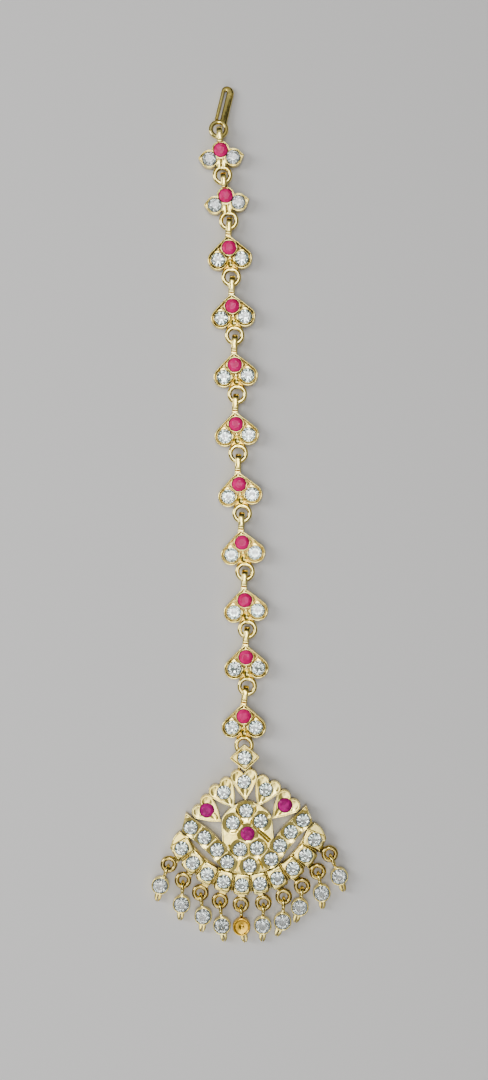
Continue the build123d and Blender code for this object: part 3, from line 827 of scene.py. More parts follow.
class Workpiece:
    """One piece of metal, gathered from closed shells and from what is cut out of them."""

    def __init__(self, name: str) -> None:
        """Starts an empty piece.

        Args:
            name: The object's name.
        """
        self.name = name
        self.bm = bmesh.new()
        self.cutters = bmesh.new()

    @staticmethod
    def copy(shell: BMesh, target: BMesh, place: Matrix) -> None:
        """Adds a copy of one mesh to another.

        Args:
            shell: The mesh that is copied.
            target: The mesh that grows.
            place: Where the copy goes.
        """
        mesh = bpy.data.meshes.new("shell")
        shell.to_mesh(mesh)
        mesh.transform(place)
        target.from_mesh(mesh)
        bpy.data.meshes.remove(mesh)

    def cut(self, tool: BMesh, place: Matrix = Matrix()) -> None:
        """Notes a closed shape that is cut out when the piece is fused, and frees it."""
        self.copy(tool, self.cutters, place)
        tool.free()

    def add(self, shell: BMesh, place: Matrix = Matrix(), tone: Tone = Tone.POLISHED) -> None:
        """Adds a closed shell and frees it.

        Args:
            shell: The shell, in millimetres.
            place: Where it goes.
            tone: The gold that it is finished in.
        """
        for face in shell.faces:
            face.material_index = tone.value
        self.take(shell, place)
        shell.free()

    def take(self, shell: BMesh, place: Matrix) -> None:
        """Adds a copy of a shell as it is, at a place."""
        self.copy(shell, self.bm, place)

    def fused(self) -> "Workpiece":
        """Melts the shells into one closed skin and makes the cuts.

        Returns:
            The piece itself.
        """
        objects = []
        for source in (self.bm, self.cutters):
            mesh = bpy.data.meshes.new("fuse")
            source.to_mesh(mesh)
            source.free()
            objects.append(bpy.data.objects.new("fuse", mesh))
            bpy.context.scene.collection.objects.link(objects[-1])
        metal, tools = objects
        melt = metal.modifiers.new("melt", "BOOLEAN")
        melt.operation = "DIFFERENCE"
        melt.solver = "EXACT"
        melt.use_self = True
        melt.object = tools
        melt.material_mode = "INDEX"
        graph = bpy.context.evaluated_depsgraph_get()
        self.bm = bmesh.new()
        self.bm.from_mesh(metal.evaluated_get(graph).to_mesh())
        for item in objects:
            bpy.data.objects.remove(item)
        bmesh.ops.dissolve_degenerate(self.bm, dist=WELD, edges=self.bm.edges)
        return self

    def finish(self, finishes: Sequence[bpy.types.Material], slot: str, *nodes: str) -> None:
        """Makes the object, in metres, hangs it under the root empty and reports it.

        Args:
            finishes: Materials in the order of the tones.
            slot: Not used.
            *nodes: CAD nodes that it stands for.
        """
        bmesh.ops.scale(self.bm, verts=self.bm.verts, vec=(MM, MM, MM))
        mesh = bpy.data.meshes.new(self.name)
        self.bm.to_mesh(mesh)
        self.bm.free()
        for face in mesh.polygons:
            face.use_smooth = True
        mesh.set_sharp_from_angle(angle=CREASE)
        for finish in finishes:
            mesh.materials.append(finish)
        piece = bpy.data.objects.new(self.name, mesh)
        bpy.context.scene.collection.objects.link(piece)
        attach(piece, "root")
        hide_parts(*nodes)
        LOG.info("%s for %s", self.name, ", ".join(nodes))


def middle_of(node: str) -> Point:
    """The middle of a CAD node's box, seen from above, in millimetres."""
    low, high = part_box(node)
    return ((low.x + high.x) / 2 / MM, (low.y + high.y) / 2 / MM)


# The chain


@dataclass(frozen=True)
class Joint:
    """What links one piece of the chain to the next: a standing loop and a flat ring."""

    width: float = 1.08
    wall: float = 0.62
    soft: float = 0.20
    height: float = 2.74
    corner: float = 0.84  # radius of the loop's middle line where it turns
    level: float = 1.61  # height of the ring's middle
    ring_r: float = 1.40
    ring_wall: float = 0.80
    ring_height: float = 0.76
    ring_soft: float = 0.30

    def loop(self, near: float, far: float) -> BMesh:
        """Makes the standing loop: a flat band bent round two upright strands.

        Args:
            near: Middle of the strand that is soldered to its piece.
            far: Middle of the strand that is threaded through a ring.

        Returns:
            The closed band.
        """
        side = self.height / 2 - self.wall / 2
        middle = (near + far) / 2
        start = filled(section(self.width, self.wall, self.soft))
        bmesh.ops.translate(start, verts=start.verts, vec=(0, middle, side))
        wire = Wire(start)
        run, rise = far - middle - self.corner, 2 * (side - self.corner)
        ways = ((0, run, 0), (0, 0, -rise), (0, -2 * run, 0), (0, 0, rise), (0, run, 0))
        ends = (far - self.corner, near + self.corner)
        for step, way in enumerate(ways):
            wire.run(way)
            if step < len(ways) - 1:
                centre = (0, ends[step // 2], (side - self.corner) * (1, -1, -1, 1)[step])
                wire.bend(centre, Axis.X, -90.0, steps=7)
        return wire.ring()

    def ring(self) -> BMesh:
        """Makes the flat ring, round the Z axis."""
        return turned(section(self.ring_wall, self.ring_height, self.ring_soft), self.ring_r)


def heart_plate(lobe: Point, lobe_r: float, tip: float, shoulder: float, notch: float = 0.0) -> BMesh:
    """Draws a heart with its tip on +Y: two round lobes, bowed flanks and a sharp notch.

    Args:
        lobe: Middle of the right lobe.
        lobe_r: Radius of a lobe.
        tip: Where the tip is on the Y axis.
        shoulder: Angle at which a lobe runs over into its flank.
        notch: Where the notch is on the Y axis, between lobes that don't meet.

    Returns:
        The outline as a plate.
    """
    if lobe_r > lobe[0]:
        notch = lobe[1] - math.sqrt(lobe_r**2 - lobe[0] ** 2)
    out = (math.cos(math.radians(shoulder)), math.sin(math.radians(shoulder)))
    joint = (lobe[0] + lobe_r * out[0], lobe[1] + lobe_r * out[1])
    reach = (-joint[0], tip - joint[1])
    flank_r = -(reach[0] ** 2 + reach[1] ** 2) / (2 * (out[0] * reach[0] + out[1] * reach[1]))
    flank = (joint[0] - flank_r * out[0], joint[1] - flank_r * out[1])
    half = math.acos(min(1.0, lobe_r / math.dist(lobe, (0.0, notch))))
    foot = math.degrees(math.atan2(notch - lobe[1], -lobe[0]) + half) % 360 - 360
    line = Scriber(0.0, tip).arc(flank, sweep_between(flank, (0.0, tip), joint))
    line.arc(lobe, foot - shoulder)
    if lobe_r < lobe[0]:
        line.line((0.0, notch))
    return line.mirror().plate()


@dataclass
class HeartLink:
    """Inverted heart with a ruby over two white stones, each in its own cell."""

    lobe: Point = (2.15, -2.05)  # middle of the right lobe, from the middle of the ruby
    lobe_r: float = 1.88
    tip: float = 2.38  # height above the ruby
    shoulder: float = 46.0  # angle at which a lobe runs over into its flank
    notch: float = -2.02
    cell: float = 1.36  # half the side of the ruby's square cell, which stands on its corner
    cell_round: float = 1.46  # radius of a white stone's cell where it follows the rim
    cell_foot: float = 1.2
    cell_top: float = 2.06
    cell_soft: float = 0.12
    tab_halves: Point = (0.25, 1.4)  # half its width at the notch and at the ring
    tab_top: float = 1.66
    tab_overlap: Point = (0.07, 0.2)  # how far it runs into heart and ring
    tab_scoop: Place = (0.52, 0.62, 0.24)  # half width, half length and depth of the hollow in it
    scoop_y: float = -3.05
    bar_half: float = 0.42
    bar_ends: Point = (-0.62, 0.22)  # from the tip
    fork: tuple[Point, ...] = (  # outline of what the bar runs into, from the tip
        (0.0, 0.30), (-0.48, 0.10), (-0.66, -0.80), (0.0, -0.36), (0.66, -0.80), (0.48, 0.10),
    )
    ring_y: float = -5.28
    loop: Point = (2.42, 5.25)  # middles of the loop's strands, before it leans
    lean: float = -9.0  # about the heart's tip
    joint: Joint = Joint()
    tray: Tray = Tray(back=0.45, deck=1.30, rim=2.18, wall=0.30, soft=0.13)
    ruby_collet: Collet = Collet(STONE, girdle=2.04, foot=1.2, top=2.16, wall=0.22)
    white_collet: Collet = Collet(STONE, girdle=2.04, foot=1.3, top=2.10, wall=0.11)

    def shells(self) -> Workpiece:
        """Makes the link's metal.

        Returns:
            The metal, with the ruby's middle at the origin.
        """
        metal = Workpiece("heart_pattern")
        outline = heart_plate(self.lobe, self.lobe_r, self.tip, self.shoulder, self.notch)
        metal.add(self.tray.raised(outline))
        corner = self.cell * math.sqrt(2)
        self.add_cell(metal, plate_of((0.0, corner), (-corner, 0.0), (0.0, -corner), (corner, 0.0)))
        self.ruby_collet.fit(metal, (0, 0))
        for side in (1, -1):
            self.add_cell(metal, self.white_cell(side))
            self.white_collet.fit(metal, (side * self.lobe[0], self.lobe[1]))
        metal.add(self.tab(), tone=Tone.BACK)
        metal.cut(scoop(*self.tab_scoop), spot(0, self.scoop_y, z=self.tab_top))
        metal.add(self.joint.ring(), spot(0, self.ring_y, z=self.joint.level))
        low, high = (self.tip + end for end in self.bar_ends)
        metal.add(block(oblong(self.bar_half, low, high), bottom=0.95, top=2.12, soft=0.10))
        fork = plate_of(*[(x, self.tip + y) for x, y in self.fork])
        metal.add(block(fork, bottom=1.3, top=2.17, soft=0.08))
        leaning = spot(0, self.tip, self.lean, self.joint.height / 2) @ spot(0, -self.tip)
        metal.add(self.joint.loop(*self.loop), leaning)
        return metal.fused()

    def add_cell(self, metal: Workpiece, plate: BMesh) -> None:
        """Adds one stone's cell from its outline."""
        metal.add(block(plate, self.cell_foot, self.cell_top, self.cell_soft))

    def white_cell(self, side: int) -> BMesh:
        """Draws a white stone's cell: two straight corners and a round side towards the rim.

        Args:
            side: 1 for the right stone and -1 for the left one.

        Returns:
            The outline as a plate.
        """
        corner = self.cell * math.sqrt(2)
        lean = math.acos(self.cell_round / corner)
        start = math.radians(90) - lean
        x, y = self.lobe
        line = Scriber(x, y + corner)
        line.line((x + self.cell_round * math.cos(start), y + self.cell_round * math.sin(start)))
        plate = line.arc(self.lobe, 2 * math.degrees(lean) - 270).line((x - corner, y)).plate()
        if side < 0:
            bmesh.ops.scale(plate, verts=plate.verts, vec=(-1, 1, 1))
            bmesh.ops.reverse_faces(plate, faces=plate.faces)
        return plate

    def tab(self) -> BMesh:
        """Makes the tab between the lobes that carries the ring.

        Returns:
            The closed tab.
        """
        top = self.notch + self.tab_overlap[0]
        low = self.ring_y + self.joint.ring_r - self.tab_overlap[1]
        narrow, wide = self.tab_halves
        tab = plate_of((-narrow, top), (narrow, top), (wide, low), (-wide, low))
        return block(tab, bottom=1.0, top=self.tab_top, soft=0.07)


@dataclass
class FlowerLink:
    """Three stones in three petals over a grooved leaf."""

    white: Point = (2.15, -1.45)  # middle of the right white stone, from the middle of the ruby
    petal_r: float = 1.62
    point_r: float = 2.00  # how far a side petal's point reaches
    point_at: float = 8.0  # direction of the right petal's point
    # Outline of its right half.
    leaf: tuple[Point, ...] = ((0.04, -1.25), (0.78, -1.7), (1.14, -2.35), (0.92, -3.1), (0.04, -3.28))
    neck_half: float = 0.42
    neck_ends: Point = (1.2, 1.9)
    ring_y: float = -4.50
    loop: Point = (1.45, 4.02)  # middles of the loop's strands
    joint: Joint = Joint()
    tray: Tray = Tray(back=0.45, deck=1.78, rim=2.16, wall=0.17, soft=0.06)
    ruby_collet: Collet = Collet(STONE, girdle=2.04, foot=1.6, top=2.16, wall=0.22)
    white_collet: Collet = Collet(STONE, girdle=2.04, foot=1.6, top=2.10, wall=0.14)

    def petal(self, side: int) -> BMesh:
        """Draws a side petal, round with a slight point.

        Args:
            side: 1 for the right petal and -1 for the left one.

        Returns:
            The outline as a plate.
        """
        x, y = side * self.white[0], self.white[1]
        half = math.degrees(math.acos(self.petal_r / self.point_r))
        facing = self.point_at if side > 0 else 180 - self.point_at
        tip, start = math.radians(facing), math.radians(facing + half)
        line = Scriber(x + self.point_r * math.cos(tip), y + self.point_r * math.sin(tip))
        line.line((x + self.petal_r * math.cos(start), y + self.petal_r * math.sin(start)))
        return line.arc((x, y), 360 - 2 * half).plate()

    def shells(self) -> Workpiece:
        """Makes the link's metal.

        Returns:
            The metal, with the ruby's middle at the origin.
        """
        metal = Workpiece("flower_pattern")
        for side in (1, -1):
            metal.add(self.tray.raised(self.petal(side)))
            self.white_collet.fit(metal, (side * self.white[0], self.white[1]))
        top = Scriber(self.petal_r, 0.0).arc((0.0, 0.0), 360).plate()
        metal.add(self.tray.raised(top))
        self.ruby_collet.fit(metal, (0, 0))
        for side in (1, -1):
            leaf = plate_of(*sided(side, *self.leaf))
            metal.add(block(leaf, bottom=0.8, top=2.12, soft=0.20))
        metal.add(self.joint.ring(), spot(0, self.ring_y, z=self.joint.level))
        metal.add(block(oblong(self.neck_half, *self.neck_ends), bottom=0.95, top=1.78, soft=0.12))
        metal.add(self.joint.loop(*self.loop), spot(0, 0, z=self.joint.height / 2))
        return metal.fused()


@dataclass
class DiamondLink:
    """Rhombic setting over two bails that hold the chain's last ring and the pendant's first."""

    half_width: float = 2.80
    half_height: float = 2.46
    corner: float = 0.36
    # Middle, middle radius, wire radius and height of each.
    bails: tuple[tuple[float, ...], ...] = ((0.62, 0.98, 0.26, 1.62), (-1.38, 0.86, 0.24, 1.20))
    bail_overlap: float = 0.25  # how far they run into the tray
    pendant_ring: Point = (0.02, -2.40)  # middle of the ring that the lower bail holds
    tray: Tray = Tray(back=2.14, deck=2.90, rim=3.46, wall=0.26, soft=0.08)
    collet: Collet = Collet(STONE, girdle=3.34, foot=2.7, top=3.42, wall=0.16)

    def shells(self) -> Workpiece:
        """Makes the link's metal.

        Returns:
            The metal, with the stone's middle at the origin.
        """
        metal = Workpiece("diamond_pattern")
        wide, high = self.half_width, self.half_height
        rhomb = plate_of((0.0, high), (-wide, 0.0), (0.0, -high), (wide, 0.0))
        metal.add(self.tray.raised(round_corners(rhomb, self.corner, 3)))
        self.collet.fit(metal, (0, 0))
        for y, mean_r, wire_r, level in self.bails:
            metal.add(self.bail(mean_r, wire_r, level), spot(0, y), Tone.WIRE)
        return metal.fused()

    def bail(self, mean_r: float, wire_r: float, level: float) -> BMesh:
        """Makes a U-shaped wire that hangs from the tray's back.

        Args:
            mean_r: Radius of the bend.
            wire_r: Radius of the wire.
            level: Height of the bend's middle.

        Returns:
            The closed wire.
        """
        top = self.tray.back + self.bail_overlap
        end = bmesh.new()
        start = Matrix.Translation((0, mean_r, top))
        bmesh.ops.create_circle(end, cap_ends=True, segments=14, radius=wire_r, matrix=start)
        wire = Wire(end).run((0, 0, level - top)).bend((0, 0, level), Axis.X, -180.0, steps=12)
        return wire.run((0, 0, top - level)).solid()


@dataclass
class Hook:
    """Flat eye with a flattened wire that runs up, turns tightly and comes back beside itself."""

    shank_x: float = 0.55  # from the middle of the eye
    shank_start: float = 1.05
    shank_width: float = 1.30
    back_width: float = 0.66  # of the strand that comes back
    thickness: float = 0.74
    soft: float = 0.22
    gap: float = 0.36  # between the two strands
    reach: float = 8.30  # height of the bend's top
    back_end: float = 1.70
    turn: float = -13.0
    dip: float = 7.0  # how far the bend dips to the floor
    level: float = 1.44  # height of the eye's middle
    from_ruby: Point = (-0.39, 3.87)  # the eye's middle, from the middle of the first ruby
    joint: Joint = Joint()

    STEPS = 12

    def shells(self) -> Workpiece:
        """Makes the hook's metal.

        Returns:
            The metal, with the eye's middle at the origin.
        """
        metal = Workpiece("hook_pattern")
        metal.add(self.joint.ring())
        gap_x = self.shank_x - self.shank_width / 2 - self.gap / 2
        bend_y = self.reach - (self.shank_width + self.gap + self.back_width) / 2
        start = filled(section(self.shank_width, self.thickness, self.soft))
        bmesh.ops.translate(start, verts=start.verts, vec=(self.shank_x, self.shank_start, 0))
        wire = Wire(start).run((0, bend_y - self.shank_start, 0))
        ratio = (self.back_width / self.shank_width) ** (1 / self.STEPS)
        narrower = Matrix.Diagonal((ratio, 1, 1, 1))
        for step in range(1, self.STEPS + 1):
            wire.bend((gap_x, bend_y, 0), Axis.Z, 180 / self.STEPS, steps=1)
            inside = spot(gap_x, bend_y, 180 * step / self.STEPS) @ spot(self.gap / 2, 0)
            verts = list({vert for face in wire.end for vert in face.verts})
            squeeze = inside @ narrower @ inside.inverted()
            bmesh.ops.transform(wire.bm, matrix=squeeze, verts=verts)
        wire.run((0, self.back_end - bend_y, 0))
        metal.add(wire.solid())
        return metal.fused()

    def place(self, ruby: Point) -> Matrix:
        """Where the hook goes, from the middle of the first ruby."""
        there = spot(ruby[0] + self.from_ruby[0], ruby[1] + self.from_ruby[1], self.turn, self.level)
        return there @ Matrix.Rotation(math.radians(-self.dip), 4, "X")


# The pendant


@dataclass(frozen=True)
class Fan:
    """Sizes that the pendant's crescent, drop rings and drops share."""

    centre_y: float = 4.20  # middle of all its circles, above the ruby
    stone_r: float = 13.50
    inner_r: float = 11.50
    outer_r: float = 15.30
    step: float = 14.05  # angle from one cell to the next
    ring_r: float = 17.10  # circle of the drop rings
    ring_first: float = 6.80  # angle of the first drop ring from straight down
    ring_step: float = 12.95
    per_side: int = 5  # cells, and drops, on each side

    def point(self, radius: float, from_down: float) -> Point:
        """A point at a radius and an angle from straight down."""
        angle = math.radians(from_down - 90)
        return (radius * math.cos(angle), self.centre_y + radius * math.sin(angle))

    def angles(self, first: float, step: float) -> list[float]:
        """Angles from straight down, from left to right."""
        right = [first + step * index for index in range(self.per_side)]
        return [-angle for angle in reversed(right)] + right

    def cells(self) -> list[float]:
        """Angles of the crescent's cells."""
        return self.angles(self.step / 2, self.step)

    def rings(self) -> list[float]:
        """Angles of the drop rings."""
        return self.angles(self.ring_first, self.ring_step)

    def band(self, first_r: float, second_r: float, spread: float) -> BMesh:
        """Draws a band between two circles.

        Args:
            first_r: Radius of the circle that is drawn first.
            second_r: Radius of the other circle.
            spread: Angle of its ends from straight down.

        Returns:
            The outline as a plate.
        """
        centre = (0.0, self.centre_y)
        line = Scriber(*self.point(first_r, -spread)).arc(centre, 2 * spread)
        return line.line(self.point(second_r, spread)).arc(centre, -2 * spread).plate()


@dataclass
class Pendant:
    """Fan of hearts, dome, wings and crescent, soldered into one frame."""

    turn: float = 3.7  # about its ruby
    base_top: float = 1.37
    base_inset: float = 0.45
    end_cut: float = 0.3  # share of the last cell that the base leaves free
    rim: float = 2.06
    girdle: float = 1.90
    collet_top: float = 2.00
    cell_half: float = 1.48
    cell_corner: float = 0.60
    ridge_ends: Point = (0.1, 0.35)  # of the walls between cells, from the crescent's edges
    leaf_feet: Point = (-1.5, 2.5)  # angles of the end leaf's feet, from the end of the base
    leaf_tip: Point = (12.15, 1.15)
    leaf_bow: Point = (13.80, -0.75)  # a point on the outer edge of the crescent's end leaf
    # Radii, spread and height of what joins dome and crescent.
    bridge: tuple[float, ...] = (10.9, 11.8, 26.0, 1.1)
    wing_upper: tuple[Point, ...] = (  # the right wing's upper edge, from the middle out
        (0.0, -4.0), (2.70, -3.90), (4.45, -1.55), (6.68, 0.96), (9.12, 3.02), (10.95, 4.42),
    )
    wing_lower: tuple[Point, ...] = (  # its lower edge, from the tip in
        (11.86, 1.20), (11.14, 0.60), (8.86, -1.31), (6.87, -3.53), (5.19, -5.79),
    )
    wing_bow: Point = (0.0, -7.30)  # the lowest point, where the wings meet
    # The right wing's, from the outside in.
    wing_stones: tuple[Point, ...] = ((10.18, 1.75), (7.82, -0.23), (5.71, -2.58), (3.99, -4.89))
    wing_low: Point = (0.0, -5.84)  # the stone where the wings meet
    wing_groove: tuple[Point, ...] = ((1.65, -4.5), (2.40, -6.5))
    dome_top: Point = (0.0, 6.05)
    dome_bow: Point = (2.60, 4.95)  # a point on its right shoulder
    dome_side: tuple[Point, ...] = (  # edge of its right half, from the shoulder down
        (4.45, 3.10), (4.62, 1.50), (4.62, -1.35), (2.80, -4.00), (2.40, -4.40), (0.0, -4.40),
    )
    dome_stones: tuple[Point, ...] = ((2.53, 2.10), (0.0, 4.13), (1.54, -2.75))  # of its right half
    dome_grooves: tuple[tuple[Point, Point, float], ...] = (  # start, end and width
        ((0.75, 1.70), (1.80, 4.90), 0.42), ((-0.75, 1.70), (-1.80, 4.90), 0.42),
        ((0.98, 1.30), (3.75, -1.75), 0.46), ((1.28, 1.62), (4.10, -1.40), 0.46),
        ((-1.35, 0.75), (-3.10, 0.45), 0.34), ((-3.55, -1.70), (-2.85, -3.40), 0.44),
        ((0.0, -1.45), (0.0, -4.10), 0.40), ((2.95, -1.60), (3.35, -2.70), 0.40),
    )
    hearts: tuple[tuple[float, ...], ...] = (  # middle, turn and collar of the top and the right ones
        (0.0, 9.40, 0.0, 0.10), (3.80, 7.73, 30.0, 0.10), (7.07, 4.74, 47.5, 0.20),
    )
    heart_lobe: Point = (1.18, -0.95)
    lobe_scoop: Place = (0.92, 0.92, 0.08)  # half width, half length and depth
    tip_scoop: Place = (0.55, 0.95, 0.08)
    tip_scoop_y: float = 1.60
    drop_ring: Point = (1.12, 0.43)  # radii of its middle line and of its wire
    ring_level: float = 1.26
    tab_half: float = 0.65
    tab_reach: float = 0.5
    tab_inset: float = 0.2
    tab_droop: float = 18.0  # how far the tab slopes down to its ring
    top_ring: Point = (1.02, 0.30)  # radii of its middle line and of its wire
    top_level: float = 1.20
    fan: Fan = Fan()

    def shells(self, top_ring: Point) -> Workpiece:
        """Makes the frame's metal.

        Args:
            top_ring: Middle of the ring that the diamond link holds.

        Returns:
            The metal, with the ruby's middle at the origin.
        """
        metal = Workpiece("pendant_pattern")
        self.add_crescent(metal)
        self.add_wings(metal)
        self.add_dome(metal)
        self.add_hearts(metal)
        self.add_rings(metal)
        metal.add(wire_ring(*self.top_ring), spot(*top_ring, z=self.top_level), Tone.WIRE)
        return metal.fused()

    def set_stones(self, metal: Workpiece, stones: Sequence[Point], foot: float, wall: float,
                   flare: float = 0.0) -> None:
        """Adds the collars and seats of some stones.

        Args:
            metal: The frame's metal.
            stones: Middles of the stones.
            foot: Height that the collars stand on.
            wall: Thickness of the collars.
            flare: Width of the slopes round the stones.
        """
        for stone in stones:
            Collet(STONE, self.girdle, foot, self.collet_top, wall, flare).fit(metal, stone)

    def add_crescent(self, metal: Workpiece) -> None:
        """Adds the crescent: its base, its cells, thin walls between them and a leaf at each end.

        Args:
            metal: The frame's metal.
        """
        fan = self.fan
        spread = fan.step * (fan.per_side - self.end_cut)
        base = fan.band(fan.outer_r - self.base_inset, fan.inner_r, spread)
        metal.add(block(base, bottom=0.0, top=self.base_top, soft=0.08))
        deep = (fan.outer_r - fan.inner_r) / 2
        for angle in fan.cells():
            plate = round_corners(oblong(self.cell_half, -deep, deep), self.cell_corner, 5)
            cell = block(plate, bottom=0.0, top=self.rim - 0.08, soft=0.22)
            metal.add(cell, spot(*fan.point((fan.outer_r + fan.inner_r) / 2, angle), angle))
            self.set_stones(metal, [fan.point(fan.stone_r, angle)], foot=1.6, wall=0.10)
        radii = (fan.inner_r + self.ridge_ends[0], fan.outer_r - self.ridge_ends[1])
        for index in range(1 - fan.per_side, fan.per_side):
            low, high = (fan.point(radius, fan.step * index) for radius in radii)
            metal.add(ridge(low, high, bottom=1.2, top=self.rim - 0.14, width=0.09))
        for side in (1, -1):
            self.add_leaf(metal, side, spread)
        first_r, second_r, half, top = self.bridge
        metal.add(block(fan.band(first_r, second_r, half), bottom=0.0, top=top, soft=0.0))

    def add_leaf(self, metal: Workpiece, side: int, spread: float) -> None:
        """Adds the leaf at one end of the crescent.

        Args:
            metal: The frame's metal.
            side: 1 for the right leaf and -1 for the left one.
            spread: Angle of the crescent's ends from straight down.
        """
        outer = self.fan.point(self.fan.outer_r, side * (spread + self.leaf_feet[0]))
        inner = self.fan.point(self.fan.inner_r, side * (spread + self.leaf_feet[1]))
        tip, bow = sided(side, self.leaf_tip, self.leaf_bow)
        middle = arc_middle(outer, tip, bow)
        line = Scriber(*outer).arc(middle, sweep_between(middle, outer, tip)).line(inner)
        leaf = Tray(back=0.0, deck=1.88, rim=self.rim, wall=0.22, soft=0.08)
        metal.add(leaf.raised(line.plate()))

    def add_wings(self, metal: Workpiece) -> None:
        """Adds the V-shaped band with its row of stones.

        Args:
            metal: The frame's metal.
        """
        end = self.wing_lower[-1]
        line = Scriber(*self.wing_upper[0]).line(*self.wing_upper[1:], *self.wing_lower)
        middle = arc_middle(end, (-end[0], end[1]), self.wing_bow)
        line.arc(middle, sweep_between(middle, end, self.wing_bow))
        tray = Tray(back=0.0, deck=2.01, rim=self.rim, wall=0.34, soft=0.02, groove=0.25)
        metal.add(tray.raised(line.mirror().plate()))
        for side in (1, -1):
            metal.cut(groove(*sided(side, *self.wing_groove), level=tray.deck, width=0.36))
        stones = [sided(side, stone)[0] for stone in self.wing_stones for side in (1, -1)]
        self.set_stones(metal, stones + [self.wing_low], foot=1.4, wall=0.2, flare=0.62)

    def add_dome(self, metal: Workpiece) -> None:
        """Adds the pointed dome, its stones and the grooves between its petals.

        Args:
            metal: The frame's metal.
        """
        top, shoulder = self.dome_top, self.dome_side[0]
        middle = arc_middle(top, shoulder, self.dome_bow)
        line = Scriber(*top).arc(middle, sweep_between(middle, top, shoulder)).line(*self.dome_side[1:])
        tray = Tray(back=0.0, deck=self.rim + 0.01, rim=self.rim + 0.06, wall=0.24, soft=0.02)
        metal.add(tray.raised(line.mirror().plate()))
        for start, end, width in self.dome_grooves:
            metal.cut(groove(start, end, self.rim, width))
        upper, high, lower = self.dome_stones
        pairs = [sided(side, stone)[0] for stone in (upper, lower) for side in (1, -1)]
        stones = pairs[:2] + [high] + pairs[2:] + [(0.0, 0.0)]
        self.set_stones(metal, stones, foot=1.4, wall=0.15, flare=0.66)

    def add_hearts(self, metal: Workpiece) -> None:
        """Adds the five hearts round the top, their lobes outwards and scooped.

        Args:
            metal: The frame's metal.
        """
        top = self.rim + 0.09
        tray = Tray(back=0.0, deck=top - 0.06, rim=top, wall=0.15, soft=0.03)
        pattern = Workpiece("heart_setting")
        outline = heart_plate(self.heart_lobe, lobe_r=1.25, tip=3.32, shoulder=22.0)
        pattern.add(tray.raised(outline))
        for x, y in sided(1, self.heart_lobe) + sided(-1, self.heart_lobe):
            pattern.cut(scoop(*self.lobe_scoop), spot(x, y, z=tray.deck))
        pattern.cut(scoop(*self.tip_scoop), spot(0, self.tip_scoop_y, z=tray.deck))
        setting = pattern.fused().bm
        for x, y, turn, wall in self.hearts:
            for side in (1, -1) if x else (1,):
                metal.take(setting, spot(side * x, y, 180 - side * turn))
                self.set_stones(metal, [(side * x, y)], foot=1.4, wall=wall)
        setting.free()

    def add_rings(self, metal: Workpiece) -> None:
        """Adds the drop rings with their tabs.

        Args:
            metal: The frame's metal.
        """
        mean_r, level = self.drop_ring[0], self.ring_level
        tab_r = (self.fan.outer_r + self.fan.ring_r - mean_r) / 2 - self.tab_inset
        droop = spot(0, 0, z=level) @ Matrix.Rotation(math.radians(self.tab_droop), 4, "X")
        for angle in self.fan.rings():
            there = self.fan.point(self.fan.ring_r, angle)
            metal.add(wire_ring(*self.drop_ring), spot(*there, z=level), Tone.WIRE)
            plate = oblong(self.tab_half, -self.tab_reach, self.tab_reach)
            tab = block(plate, bottom=-0.35, top=0.35, soft=0.1)
            metal.add(tab, spot(*self.fan.point(tab_r, angle), angle) @ droop, Tone.WIRE)


